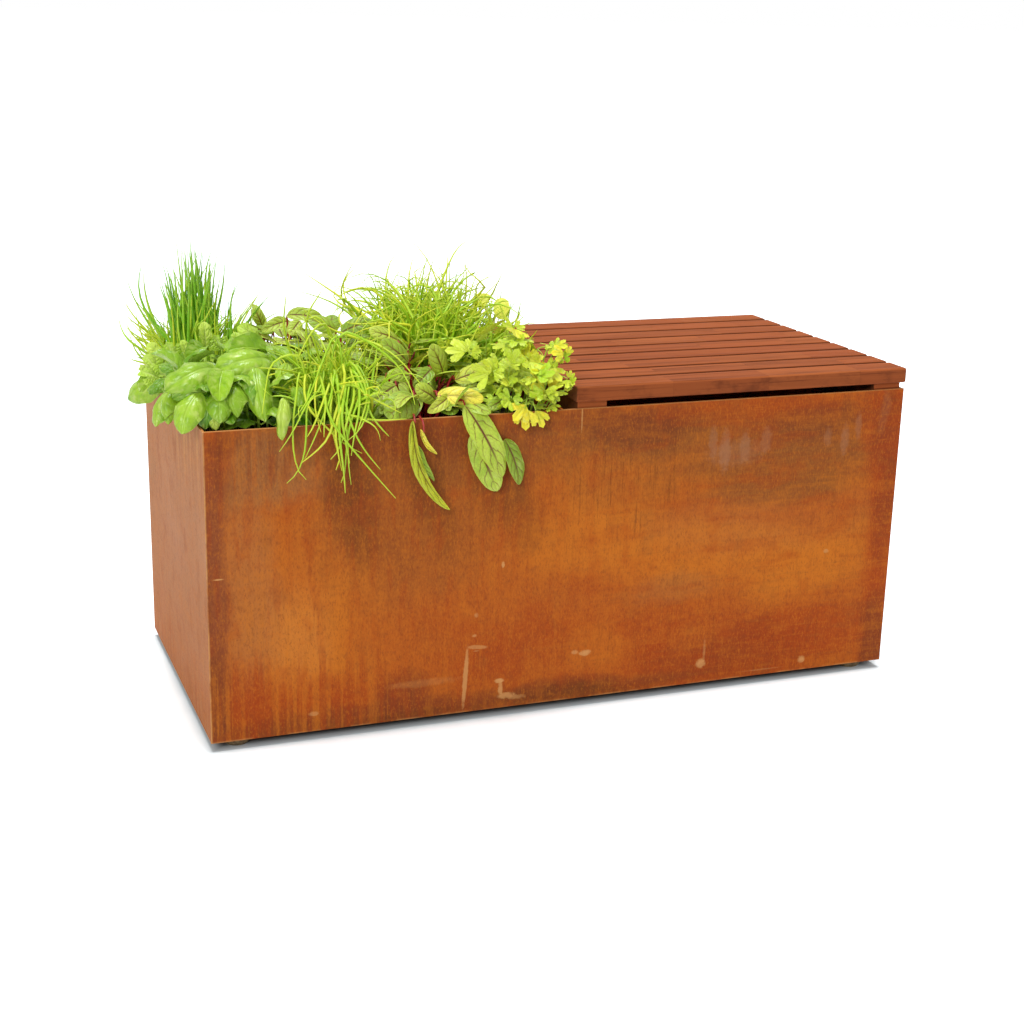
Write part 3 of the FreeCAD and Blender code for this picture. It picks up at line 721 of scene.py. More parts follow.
# Leaves: their colours are the deep, the fresh and the ripe one, and that of the veins
LEAVES = {
    "basil_leaf": dict(
        colours=((84, 142, 18), (162, 204, 46), (212, 232, 96), (210, 232, 116)),
        veins=4.0, slant=0.20, vein_share=0.22, rough=0.24, relief=0.0009, painted_highlight_share=0.75,
    ),
    "sorrel_leaf": dict(
        colours=((132, 178, 44), (198, 224, 80), (255, 244, 88), (104, 30, 36)),
        veins=5.0, slant=0.20, vein_share=1.00, rough=0.36, relief=0.0008, painted_highlight_share=0.45, net_share=0.25,
    ),
    "parsley_leaf": dict(
        colours=((164, 212, 40), (216, 238, 62), (254, 240, 60), (226, 238, 120)),
        veins=3.0, slant=0.00, vein_share=0.30, rough=0.40, relief=0.0008, painted_highlight_share=0.50,
    ),
    "rocket_leaf": dict(
        colours=((106, 164, 28), (176, 212, 58), (218, 238, 96), (228, 240, 150)),
        veins=5.0, slant=0.20, vein_share=0.50, rough=0.40, relief=0.0012, painted_highlight_share=0.40,
    ),
    "mint_leaf": dict(
        colours=((190, 220, 50), (232, 244, 80), (246, 248, 96), (236, 242, 130)),
        veins=6.0, slant=0.35, vein_share=0.35, rough=0.38, relief=0.0010, painted_highlight_share=0.40,
    ),
}
STALKS = {
    "green_stem": dict(foot=(180, 210, 90), body=(190, 220, 80), tip=(204, 228, 100), blush=(150, 180, 60)),
    "red_stem": dict(foot=(190, 70, 66), body=(176, 36, 44), tip=(160, 66, 48), blush=(140, 30, 40)),
    "dark_chive": dict(foot=(180, 216, 96), body=(146, 210, 48), tip=(184, 228, 78), blush=(236, 244, 70)),
    "fresh_chive": dict(foot=(206, 228, 104), body=(178, 222, 44), tip=(218, 238, 70), blush=(240, 242, 64)),
}
finishes = {
    "weathering_steel": weathering_steel(),
    "hardwood": hardwood(),
    "zinc_steel": threaded_steel(),
    "pad_plastic": pad_plastic(),
    "compost": compost(),
    "expanded_clay": fired_clay(),
    "fleece": felt(),
}
for make_finish, table in ((metal_finish, METALS), (leaf_finish, LEAVES), (stalk_finish, STALKS)):
    for name, row in table.items():
        finishes[name] = make_finish(name, **row)


# Leaf forms
def oval(widest, low_end, high_end):
    """The half width of a leaf along its length: low_end and high_end say how blunt its ends are."""
    peak_at = low_end / (low_end + high_end)
    peak = peak_at ** low_end * (1 - peak_at) ** high_end
    return lambda t, s: (s * widest * t ** low_end * (1 - t) ** high_end / peak, t)


def toothed(outline, teeth, bite):
    """The same outline with small teeth along its margin."""
    def cut(t, s):
        x, y = outline(t, s)
        return x * (1 - bite * np.abs(s) ** 4 * (t * teeth % 1.0)), y
    return cut


def fan(spread, notch, tooth):
    """A fan shaped leaflet with three lobes of three teeth: notch and tooth say how deep they are cut."""
    def cut(t, s):
        across = (s * 1.5 + 0.5) % 1.0 * 2 - 1
        lobe = 1 - notch * np.abs(across) ** 3
        reach = lobe * (1 - tooth + tooth * np.abs(np.cos(1.5 * np.pi * across))) * (1 - 0.22 * s ** 2)
        return t * reach * np.sin(s * spread), t * reach * np.cos(s * spread)
    return cut


def lobed(outline, lobes, bite):
    """An outline with lobes along both sides."""
    def cut(t, s):
        x, y = outline(t, s)
        wave = np.abs(np.sin(np.pi * lobes * t))
        return x * (1 - bite * (1 - wave)), y + 0.04 * np.abs(s) * np.cos(np.pi * 2 * lobes * t)
    return cut


LEAF_THICK = 0.012


def leaf_form(name, outline, bend, fold, cup, pucker=0.0, veins=5, slant=0.3, ripple=0.0,
              sweep=0.0, rows=12, columns=4, radial=False):
    """A closed thin leaf, one unit from base to tip along +Y, with its upper side towards +Z."""
    steps = np.linspace(0, 1, rows + 1)
    lengthwise = steps if radial else 0.5 - 0.5 * np.cos(np.pi * steps)
    t, s = np.meshgrid(lengthwise, np.linspace(-1, 1, 2 * columns + 1), indexing="ij")
    x, y = outline(t, s)
    bulge = np.abs(np.sin(np.pi * veins * (t - slant * np.abs(s)))) * (1 - s ** 2) * np.abs(s) ** 0.5
    lift = fold * np.abs(x) - cup * x ** 2 + pucker * bulge
    lift = lift + ripple * np.sin(2 * np.pi * (2.3 * t + 0.3 * s)) * s ** 2
    thick = LEAF_THICK * (1 - s ** 2) * np.sin(np.pi * t) ** 0.5
    layers = []
    for z in (lift, lift - thick):
        angle = bend * y
        along = (np.sin(angle) / bend if bend else y) + z * np.sin(angle)
        up = (-(1 - np.cos(angle)) / bend if bend else 0 * y) + z * np.cos(angle)
        layers.append(np.stack([x + sweep * np.sin(np.pi * t), along, up], -1).reshape(-1, 3))
    points = np.concatenate(layers)
    wide = 2 * columns + 1
    tip = points[rows * wide + columns]
    turn = np.array(Matrix.Rotation(-math.atan2(tip[2], tip[1]), 3, "X"))
    points = points @ turn.T / math.hypot(tip[1], tip[2])
    faces = []
    for layer in (0, len(points) // 2):
        for i in range(rows):
            for j in range(wide - 1):
                first = layer + i * wide + j
                ring = (first, first + 1, first + wide + 1, first + wide)
                faces.append(ring if layer == 0 else ring[::-1])
    across = (s.ravel() + 1) / 2 * 0.998
    u = np.concatenate([across + 0.001, across + 1.001])
    v = np.concatenate([t.ravel(), t.ravel()])
    mesh = bpy.data.meshes.new(name)
    mesh.from_pydata(points.tolist(), [], faces)
    corners = np.array([loop.vertex_index for loop in mesh.loops])
    places = np.stack([u[corners], v[corners]], -1).ravel()
    mesh.uv_layers.new(name="UVMap").data.foreach_set("uv", places)
    close_leaf(mesh)
    return bpy.data.objects.new(name, mesh)


def close_leaf(mesh):
    """Welds the upper and lower sides along the margin, and keeps the margin crisp."""
    work = bmesh.new()
    work.from_mesh(mesh)
    bmesh.ops.remove_doubles(work, verts=work.verts, dist=1e-5)
    for face in work.faces:
        face.smooth = True
    for edge in work.edges:
        edge.smooth = edge.calc_face_angle(0) < 1.6
    work.to_mesh(mesh)
    work.free()


def form_set(name, rows):
    """A collection of leaf forms, in the order that a leaf names them."""
    group = bpy.data.collections.new(name)
    for index, (outline, shape) in enumerate(rows):
        group.objects.link(leaf_form(f"{name}_{index}", outline, **shape))
    return group


basil_oval = oval(0.30, 0.42, 0.56)
young_oval = oval(0.22, 0.60, 0.70)
sorrel_blade = oval(0.20, 0.46, 0.56)
sorrel_narrow = oval(0.11, 0.50, 0.60)
sorrel_round = oval(0.30, 0.44, 0.50)
mint_oval = toothed(oval(0.27, 0.50, 0.60), 8, 0.10)
rocket_lobes = lobed(oval(0.28, 0.70, 0.42), 3, 0.30)
puckered = {"pucker": 0.034, "veins": 4, "slant": 0.25, "rows": 13, "columns": 5}
fanned = {"rows": 3, "columns": 14, "radial": True}
finely = {"rows": 16, "columns": 3}
LEAF_FORMS = {
    "basil": [
        (basil_oval, dict(puckered, bend=1.3, fold=0.05, cup=2.2, ripple=0.030, sweep=0.04)),
        (basil_oval, dict(puckered, bend=2.1, fold=0.30, cup=2.6, ripple=0.045, sweep=-0.06)),
        (basil_oval, dict(puckered, bend=0.8, fold=0.45, cup=-1.4, ripple=0.030, sweep=0.03)),
        (young_oval, dict(bend=-0.5, fold=0.60, cup=-0.6, rows=8, columns=3)),
        (basil_oval, dict(puckered, bend=2.3, fold=-0.20, cup=3.8, ripple=0.020, sweep=0.06)),
    ],
    "sorrel": [
        (sorrel_blade, dict(bend=0.6, fold=0.15, cup=0.5, pucker=0.006, ripple=0.010)),
        (sorrel_blade, dict(bend=1.2, fold=0.30, cup=0.2, pucker=0.008, ripple=0.014)),
        (sorrel_narrow, dict(bend=0.4, fold=0.90, cup=0.5, ripple=0.008, sweep=0.20, rows=14)),
        (sorrel_round, dict(bend=0.7, fold=0.10, cup=0.9, pucker=0.015)),
    ],
    "parsley": [
        (fan(1.05, 0.46, 0.12), dict(fanned, bend=0.5, fold=0.08, cup=0.3, ripple=0.03)),
        (fan(0.92, 0.42, 0.14), dict(fanned, bend=1.1, fold=0.15, cup=0.4, ripple=0.05)),
        (fan(1.15, 0.50, 0.12), dict(fanned, bend=-0.4, fold=0.10, cup=-0.3, ripple=0.04)),
    ],
    "rocket": [
        (rocket_lobes, dict(finely, bend=0.7, fold=0.25, cup=0.3, ripple=0.02)),
        (rocket_lobes, dict(finely, bend=1.5, fold=0.20, cup=0.5, ripple=0.03)),
        (fan(1.20, 0.35, 0.10), dict(bend=0.7, fold=0.20, cup=0.4, rows=4, columns=9, radial=True)),
    ],
    "mint": [
        (mint_oval, dict(finely, bend=0.6, fold=0.25, cup=0.3, pucker=0.02)),
        (mint_oval, dict(finely, bend=1.2, fold=0.20, cup=0.8, pucker=0.02)),
    ],
}
forms = {name: form_set(f"{name}_forms", rows) for name, rows in LEAF_FORMS.items()}


# Plants
GAP = 0.003
ROOT = SOIL - 0.004
UP = np.array([0.0, 0.0, 1.0])


def unit(vector):
    vector = np.asarray(vector, float)
    return vector / max(np.linalg.norm(vector), 1e-9)


def heading(angle, rise=0.0):
    """A unit direction at an angle round the upright, raised by rise, both in radians."""
    level = math.cos(rise)
    return np.array([math.cos(angle) * level, math.sin(angle) * level, math.sin(rise)])


def zone_of(point):
    """Where a point is: above the rim, inside the tub, outside it, or in a place that is taken."""
    x, y, z = point
    if not (x > REACH_LEFT and REACH_FRONT < y < REACH_BACK and z < REACH_UP):
        return "taken"
    if z > RIM + GAP:
        return "above" if x < REACH_RIGHT else "taken"
    if LEFT + WALL + GAP < x < DIVIDER - GAP and FRONT + WALL + GAP < y < BACK - WALL - GAP:
        return "inside" if z > SOIL + 0.002 else "taken"
    outside = x < LEFT - GAP or y < FRONT - GAP or y > BACK + GAP
    return "outside" if outside and x < REACH_RIGHT else "taken"


def has_room(start, end):
    """True if a straight line between two points passes through no wall, soil or seat."""
    last = None
    for share in np.linspace(0.0, 1.0, 14):
        zone = zone_of(np.asarray(start) * (1 - share) + np.asarray(end) * share)
        if zone == "taken" or {last, zone} == {"inside", "outside"}:
            return False
        last = zone
    return True


class Plant:
    """One plant before it is grown: stems as lines of points, and leaf places as loose points."""

    def __init__(self, seed):
        self.chance = np.random.default_rng(seed)
        self.points = []
        self.edges = []
        self.rows = []

    def add(self, point, thick=0.0, tint=0.5, along=0.0, leaf=False, form=0, turn=(0, 0, 0), size=(1, 1, 1)):
        self.points.append([float(c) for c in point])
        self.rows.append((thick, tint, along, leaf, form, turn, size))

    def line(self, points, radius_at, tint, steps=None):
        """A line through points, whose radius follows from the share of its length."""
        for index, point in enumerate(points):
            share = index / (steps or len(points) - 1)
            if index:
                self.edges.append((len(self.points) - 1, len(self.points)))
            self.add(point, radius_at(share), tint, share)

    def stem(self, points, thick, thin, tint=0.3):
        """A stem through points, its radius going from thick to thin."""
        self.line(points, lambda share: thick + (thin - thick) * share ** 1.6, tint)

    def leaf(self, base, tip, face, form, tint, width=1.0):
        """A leaf from base to tip whose upper side looks towards face."""
        base, tip = np.asarray(base, float), np.asarray(tip, float)
        along = unit(tip - base)
        across = unit(np.cross(along, face))
        columns = Matrix((across, along, np.cross(across, along))).transposed()
        length = float(np.linalg.norm(tip - base))
        size = (length * width, length, length)
        self.add(base, 0.0, tint, 0.0, True, form, tuple(columns.to_euler()), size)

    def near(self, spread):
        return self.chance.normal(0.0, spread, 3)

    def tint_near(self, tint, spread):
        return float(np.clip(tint + self.chance.normal(0, spread), 0, 1))


def arc(root, crown, tip, count=7):
    """Points on a smooth bend from root to tip, drawn towards crown."""
    root, crown, tip = (np.asarray(p, float) for p in (root, crown, tip))
    t = np.linspace(0, 1, count)[:, None]
    return (1 - t) ** 2 * root + 2 * t * (1 - t) * crown + t ** 2 * tip


def ease(values, start, limit):
    """Values past start, towards limit, squeezed so that they never pass limit."""
    over = (values - start) / (limit - start)
    return np.where(over > 0, start + (limit - start) * np.tanh(over), values)


def over_rim(points, thick):
    """Bends a path smoothly so that it leaves the tub over its rim and stays within reach."""
    points = np.array(points, float)
    gap = thick + 0.0035
    peak = points[:, 2].argmax()
    low = np.nonzero(points[peak:, 2] < RIM + 0.008)[0]
    for axis, wall in ((1, FRONT), (0, LEFT)):
        if len(low) and points[peak + low[0], axis] < wall + 0.02:
            root = points[0, axis]
            reach = (root - wall + gap) / max(root - points[peak + low[0], axis], 0.001)
            points[:, axis] = root - (root - points[:, axis]) * max(reach, 1.0)
        rising = np.arange(len(points)) <= peak
        held = rising & (points[:, 2] < RIM + 0.004)
        points[held, axis] = np.maximum(points[held, axis], wall + WALL + gap)
    limits = [
        (0, LEFT - gap, REACH_LEFT + thick),
        (0, REACH_RIGHT - 0.03, REACH_RIGHT - thick),
        (1, FRONT - gap, REACH_FRONT + thick),
        (1, BACK - 0.03, BACK - WALL - gap),
        (2, REACH_UP - 0.02, REACH_UP),
    ]
    for axis, start, limit in limits:
        points[:, axis] = ease(points[:, axis], start, limit)
    outside = (points[:, 0] < LEFT) | (points[:, 1] < FRONT)
    sunk = (points[:, 2] < SOIL + 0.003) & ~outside & (np.arange(len(points)) > peak)
    return points[:sunk.argmax()] if sunk.any() else points


# Node trees that grow the plants and scatter the crumbs
def new_tree(name, inputs):
    """An empty geometry tree with named inputs, given as their kinds, and the wire of its first input."""
    tree = bpy.data.node_groups.new(name, "GeometryNodeTree")
    for label, kind in inputs.items():
        tree.interface.new_socket(name=label, in_out="INPUT", socket_type=f"NodeSocket{kind}")
    tree.interface.new_socket(name="Geometry", in_out="OUTPUT", socket_type="NodeSocketGeometry")
    return tree, Wire(tree).node("NodeGroupInput")


def copies(given, collection, values):
    """Copies of a collection's objects on points, made real."""
    choice = {"Collection": given.beside(collection), "Separate Children": True, "Reset Children": True}
    kinds = given.node("GeometryNodeCollectionInfo", values=choice)
    values = {"Instance": kinds, "Pick Instance": True, **values}
    placed = given.node("GeometryNodeInstanceOnPoints", values=values)
    return given.node("GeometryNodeRealizeInstances", values={"Geometry": placed})


def painted(given, shape, finish):
    values = {"Geometry": shape, "Material": given.beside(finish)}
    return given.node("GeometryNodeSetMaterial", values=values)


def joined(first, second):
    both = first.node("GeometryNodeJoinGeometry", values={0: first})
    first.tree.links.new(second.socket, both.socket.node.inputs[0])
    return both


def grow_tree():
    """The node tree that turns a plant's lines into stems and its loose points into leaves."""
    inputs = {
        "Geometry": "Geometry",
        "Leaf Forms": "Collection",
        "Stem Sides": "Int",
        "Stem Rings": "Int",
        "Stem Finish": "Material",
        "Leaf Finish": "Material",
    }
    tree, given = new_tree("grow_plant", inputs)

    def stored(name, kind):
        return given.node("GeometryNodeInputNamedAttribute", {"data_type": kind}, {"Name": name})

    values = {"Geometry": given, "Selection": stored("leaf", "BOOLEAN")}
    places = given.node("GeometryNodeSeparateGeometry", {"domain": "POINT"}, values)
    lines = given.node("GeometryNodeMeshToCurve", values={"Mesh": places.beside("Inverted")})
    smooth = given.node("GeometryNodeCurveSplineType", {"spline_type": "CATMULL_ROM"}, {"Curve": lines})
    values = {"Curve": smooth, "Count": given.beside("Stem Rings")}
    even = given.node("GeometryNodeResampleCurve", {"mode": "COUNT"}, values)
    values = {"Resolution": given.beside("Stem Sides"), "Radius": 1.0}
    ring = given.node("GeometryNodeCurvePrimitiveCircle", values=values)
    values = {"Curve": even, "Profile Curve": ring, "Scale": stored("thick", "FLOAT"), "Fill Caps": True}
    stems = given.node("GeometryNodeCurveToMesh", values=values)
    stems = given.node("GeometryNodeSetShadeSmooth", values={"Geometry": stems, "Shade Smooth": True})
    turn = given.node("FunctionNodeEulerToRotation", values={"Euler": stored("turn", "FLOAT_VECTOR")})
    values = {
        "Points": places,
        "Instance Index": stored("form", "INT"),
        "Rotation": turn,
        "Scale": stored("size", "FLOAT_VECTOR"),
    }
    leaves = copies(given, "Leaf Forms", values)
    both = joined(painted(given, stems, "Stem Finish"), painted(given, leaves, "Leaf Finish"))
    given.node("NodeGroupOutput", values={0: both})
    return tree


plant_tree = grow_tree()


def made_by(tree, piece, values):
    """Runs a node tree on a piece, with its inputs found by their names, and keeps the plain mesh."""
    modifier = piece.modifiers.new(tree.name, "NODES")
    modifier.node_group = tree
    for item in tree.interface.items_tree:
        if item.in_out == "INPUT" and item.name in values:
            modifier[item.identifier] = values[item.name]
    bpy.context.view_layer.update()
    depsgraph = bpy.context.evaluated_depsgraph_get()
    done = piece.evaluated_get(depsgraph)
    mesh = bpy.data.meshes.new_from_object(done, preserve_all_data_layers=True, depsgraph=depsgraph)
    piece.modifiers.clear()
    piece.data = mesh
    mesh.name = piece.name


def new_piece(name, mesh):
    piece = bpy.data.objects.new(name, mesh)
    bpy.context.scene.collection.objects.link(piece)
    return piece


def grow(plant, node, kind, stem, sides, rings):
    """Grows a plant into one piece that stands for its node in the tub."""
    name = node.replace("plant_", "growing_")
    mesh = bpy.data.meshes.new(name)
    mesh.from_pydata(plant.points, plant.edges, [])
    columns = list(zip(*plant.rows))
    kinds = [("thick", "FLOAT"), ("tint", "FLOAT"), ("along", "FLOAT"), ("leaf", "BOOLEAN"), ("form", "INT")]
    for (label, data_kind), column in zip(kinds, columns):
        mesh.attributes.new(label, data_kind, "POINT").data.foreach_set("value", list(column))
    for label, column in zip(("turn", "size"), columns[5:]):
        flat = np.array(column, np.float32).ravel()
        mesh.attributes.new(label, "FLOAT_VECTOR", "POINT").data.foreach_set("vector", flat)
    piece = new_piece(name, mesh)
    values = {
        "Leaf Forms": forms[kind],
        "Stem Sides": sides,
        "Stem Rings": rings,
        "Stem Finish": finishes[stem],
        "Leaf Finish": finishes[f"{kind}_leaf"],
    }
    made_by(plant_tree, piece, values)
    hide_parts(node)
    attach(piece, "tub")


def scattered(plant, low, high, columns, rows):
    """Places spread over a box's floor, one in each cell of a grid, with some jitter."""
    for i in range(columns):
        for j in range(rows):
            jitter = plant.chance.uniform(-0.32, 0.32, 2)
            x = low[0] + (high[0] - low[0]) * (i + 0.5 + jitter[0]) / columns
            y = low[1] + (high[1] - low[1]) * (j + 0.5 + jitter[1]) / rows
            yield np.array([x, y, ROOT])


def try_leaf(plant, base, direction, length, face, form, tint):
    """Adds a leaf if it has room, else a shorter or steeper one, else none."""
    for shrink, lift in ((1.0, 0.0), (0.9, 0.35), (0.75, 0.8), (0.6, 1.3)):
        aim = unit(np.asarray(direction) + UP * lift)
        tip = np.asarray(base) + aim * length * shrink
        if has_room(base, tip):
            side = unit(np.cross(aim, face)) * length * 0.2
            if zone_of(tip + side) != "taken" and zone_of(tip - side) != "taken":
                plant.leaf(base, tip, face, form, tint)
                return True
    return False


def leafy_stem(plant, root, top, pairs, length, forms_used, small_form, tint, thick):
    """An upright stem with pairs of leaves, each pair a quarter turn on from the one below."""
    chance = plant.chance
    bow = (np.asarray(root) + top) / 2 + plant.near(0.008)
    path = over_rim(arc(root, bow, top), thick)
    plant.stem(path, thick, thick * 0.6)
    start_turn = chance.uniform(0, math.pi)
    for pair in range(pairs):
        share = 0.30 + 0.62 * pair / max(pairs - 1, 1)
        place = path[0] + (path[-1] - path[0]) * share
        rise = -0.35 + 0.75 * share + chance.normal(0, 0.18)
        for side in (0, math.pi):
            angle = start_turn + pair * math.pi / 2 + side + chance.normal(0, 0.25)
            direction = heading(angle, rise)
            base = place + heading(angle, rise + 0.5) * 0.012
            size = length * (1.05 - 0.35 * share) * chance.uniform(0.85, 1.12)
            face = unit(UP + direction * 0.3 + plant.near(0.15))
            form = int(chance.choice(forms_used))
            tint_here = plant.tint_near(tint, 0.16)
            if zone_of(base) != "taken" and try_leaf(plant, base, direction, size, face, form, tint_here):
                plant.stem([place, (place + base) / 2 + UP * 0.001, base], thick * 0.5, thick * 0.35)
    for turn in range(4):
        angle = start_turn + turn * math.pi / 2 + 0.4
        rise = 0.55 if turn % 2 else 0.95
        size = length * (0.42 if turn % 2 else 0.30)
        face = unit(UP - heading(angle) * 0.7)
        try_leaf(plant, path[-1], heading(angle, rise), size, face, small_form, min(tint + 0.2, 1.0))


BED_MARGIN = 0.012


def box_of(node):
    """A node's box kept a margin inside the tub's walls, as two arrays."""
    low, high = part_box(node)
    low = np.maximum(low, (LEFT + WALL + BED_MARGIN, FRONT + WALL + BED_MARGIN, SOIL))
    high = np.minimum(high, (DIVIDER - BED_MARGIN, BACK - WALL - BED_MARGIN, 1.0))
    return low, high


def by_hand(rows):
    """Leaves given one by one, read from millimetres and percent."""
    for base, tip, face, form, *shares in rows:
        ends = (np.array(base) / MM, np.array(tip) / MM)
        yield *ends, np.array(face) / PERCENT, form, *(share / PERCENT for share in shares)


def basil():
    node = "plant_basil_front_left"
    plant = Plant(11)
    low, high = box_of(node)
    low[1] += 0.040
    middle = (low + high) / 2
    for root in scattered(plant, low, high, 3, 4):
        lean = (root - middle) * (0.40, 0.25, 0.0)
        top = root + lean + UP * plant.chance.uniform(0.040, 0.080) + plant.near(0.006)
        leafy_stem(plant, root, top, 3, 0.056, (0, 1, 1, 2), 3, 0.30, 0.0022)
    # The leaves in front and over the corner: base, tip, way that the upper side looks, form, tint, width
    in_front = [
        ((-503, 50, 430), (-544, 82, 402), (-10, -80, 60), 0, 60, 110),
        ((-510, 12, 446), (-540, 4, 428), (-30, -60, 75), 2, 60, 110),
        ((-510, -50, 454), (-537, -66, 440), (-50, -60, 60), 1, 15, 90),
        ((-502, -100, 470), (-528, -90, 482), (-30, -60, 75), 0, 20, 110),
        ((-469, -148, 486), (-533, -170, 466), (-12, -66, 74), 1, 38, 95),
        ((-474, -158, 470), (-526, -176, 458), (-10, -80, 55), 1, 20, 80),
        ((-522, -98, 448), (-539, -120, 410), (-80, -55, 20), 0, 55, 80),
        ((-514, -148, 464), (-532, -176, 426), (-75, -60, 25), 4, 50, 90),
        ((-494, -185, 466), (-523, -214, 422), (-45, -85, 30), 0, 62, 100),
        ((-463, -175, 489), (-475, -207, 458), (-15, -85, 50), 2, 55, 115),
        ((-467, -188, 469), (-477, -217, 433), (-15, -96, 20), 0, 30, 110),
        ((-480, -178, 460), (-492, -203, 424), (-40, -90, 20), 1, 5, 95),
        ((-447, -185, 473), (-453, -212, 438), (-60, -75, 20), 4, 35, 85),
        ((-421, -172, 490), (-420, -214, 431), (-10, -93, 35), 0, 42, 75),
        ((-436, -168, 480), (-430, -205, 448), (35, -85, 40), 1, 15, 80),
        ((-393, -130, 489), (-466, -147, 484), (0, -72, 70), 1, 62, 95),
        ((-396, -118, 500), (-446, -124, 504), (0, -60, 80), 2, 35, 90),
        ((-480, -206, 440), (-481, -214, 424), (-20, -95, 20), 0, 90, 120),
        ((-466, -62, 498), (-492, -92, 484), (-10, -70, 70), 2, 35, 90),
        ((-440, -62, 500), (-438, -98, 494), (0, -70, 70), 2, 50, 100),
        ((-435, -108, 480), (-470, -134, 474), (0, -70, 70), 1, 45, 90),
        ((-372, -140, 486), (-387, -172, 462), (15, -85, 50), 0, 65, 95),
        ((-376, -190, 466), (-369, -214, 440), (10, -95, 25), 1, 40, 90),
        ((-398, -226, 460), (-405, -243, 414), (-50, -85, 0), 1, 80, 50),
        ((-374, -70, 496), (-350, -92, 482), (10, -80, 60), 0, 55, 90),
    ]
    for base, tip, face, form, tint, width in by_hand(in_front):
        plant.leaf(base, tip, face, form, tint, width)
        foot = np.array([base[0] + 0.020, base[1] + 0.025, ROOT])
        crown = np.array([base[0] + 0.010, base[1] + 0.010, max(base[2] + 0.004, RIM + 0.030)])
        plant.stem(over_rim(arc(foot, crown, base), 0.0012), 0.0016, 0.0011)
    grow(plant, node, "basil", "green_stem", 6, 8)


BLADE_STEPS = 14


def blade(plant, root, turn, lean, droop, length, thick, tint, curl, wander):
    """One chive blade: it leaves the soil at an angle lean, droops and wanders, and ends in a fine point."""
    place = np.array([root[0], root[1], ROOT])
    path = [place]
    sway, swing = plant.chance.normal(0, wander, 2)
    beat, start = plant.chance.uniform(3, 8), plant.chance.uniform(0, 2 * math.pi)
    for step in range(BLADE_STEPS):
        share = (step + 0.5) / BLADE_STEPS
        wave = math.sin(beat * share + start) * share ** 0.5
        tilt = lean + droop * share ** 1.6 + sway * wave
        way = heading(turn + curl * share + swing * 2 * wave, math.pi / 2 - tilt)
        place = place + way * length / BLADE_STEPS
        path.append(place)
    path = over_rim(path, thick)
    plant.line(path, lambda share: thick * (1 - max(share - 0.55, 0) / 0.45 * 0.85), tint, BLADE_STEPS)


def tuft(plant, count, low, high, turns, leans, droops, lengths, thick, tints, curl, wander):
    """Blades that rise between two corners of the ground, each with a chance value from each range."""
    pick = plant.chance.uniform
    for _ in range(count):
        root = pick(low, high)
        size = thick * pick(0.75, 1.2)
        turn, bow = pick(*turns), pick(-curl, curl)
        blade(plant, root, turn, pick(*leans), pick(*droops), pick(*lengths), size, pick(*tints), bow, wander)


FRONTWARD = -math.pi / 2
AROUND = (0.0, 2 * math.pi)


def chives_rear_left():
    plant = Plant(23)
    tuft(plant, 40, (-0.462, 0.11), (-0.422, 0.18), AROUND, (0.0, 0.10), (0.0, 0.3), (0.160, 0.212),
         0.0025, (0.0, 0.7), 0.6, 0.20)
    tuft(plant, 90, (-0.470, 0.11), (-0.405, 0.19), AROUND, (0.0, 0.12), (0.0, 0.4), (0.105, 0.182),
         0.0025, (0.0, 0.8), 0.8, 0.24)
    tuft(plant, 14, (-0.425, 0.11), (-0.405, 0.18), (-0.7, 0.7), (0.1, 0.40), (0.1, 0.6), (0.10, 0.160),
         0.0022, (0.2, 1.0), 0.4, 0.24)
    tuft(plant, 96, (-0.472, 0.10), (-0.405, 0.19), AROUND, (0.1, 0.55), (0.1, 1.1), (0.080, 0.140),
         0.0022, (0.4, 1.0), 1.2, 0.55)
    tuft(plant, 26, (-0.472, 0.10), (-0.430, 0.18), (2.5, 3.9), (0.3, 0.7), (0.1, 0.7), (0.105, 0.150),
         0.0020, (0.6, 1.0), 0.6, 0.28)
    tuft(plant, 56, (-0.460, 0.10), (-0.408, 0.17), AROUND, (0.10, 0.50), (-0.8, 0.2), (0.105, 0.160),
         0.0018, (0.5, 1.0), 0.8, 0.60)
    # Single blades: root x and y, turn, lean, droop, length, tint
    single = [
        ((-0.455, 0.130), 3.3, 0.42, 0.20, 0.190, 0.6),
        ((-0.450, 0.120), 3.1, 0.70, 0.25, 0.150, 0.9),
        ((-0.445, 0.140), 3.2, 0.55, 0.30, 0.170, 1.0),
        ((-0.440, 0.150), 3.4, 0.60, 0.55, 0.170, 0.8),
        ((-0.430, 0.140), 3.1, 0.05, 0.05, 0.208, 0.3),
        ((-0.425, 0.140), 3.1, 0.12, 0.05, 0.204, 0.2),
        ((-0.405, 0.140), 0.0, 0.30, 0.60, 0.150, 0.4),
        ((-0.400, 0.160), 0.2, 0.40, 0.90, 0.145, 0.7),
        ((-0.400, 0.130), 6.0, 0.60, 0.90, 0.130, 1.0),
    ]
    for root, turn, lean, droop, length, tint in single:
        blade(plant, root, turn, lean, droop, length, 0.0021, tint, 0.0, 0.08)
    grow(plant, "plant_chives_rear_left", "mint", "dark_chive", 5, 14)


def rounded(points):
    """Cuts the corners of a path twice, so that it bends smoothly; its ends stay."""
    points = np.array(points, float)
    for _ in range(2):
        near = points[:-1] * 0.75 + points[1:] * 0.25
        far = points[:-1] * 0.25 + points[1:] * 0.75
        between = np.stack([near, far], 1).reshape(-1, 3)
        points = np.concatenate([points[:1], between, points[-1:]])
    return points


def drape(plant, points, thick, tint):
    """A long blade through given points."""
    plant.line(rounded(points), lambda share: thick * (1 - max(share - 0.6, 0) / 0.4 * 0.75), tint)


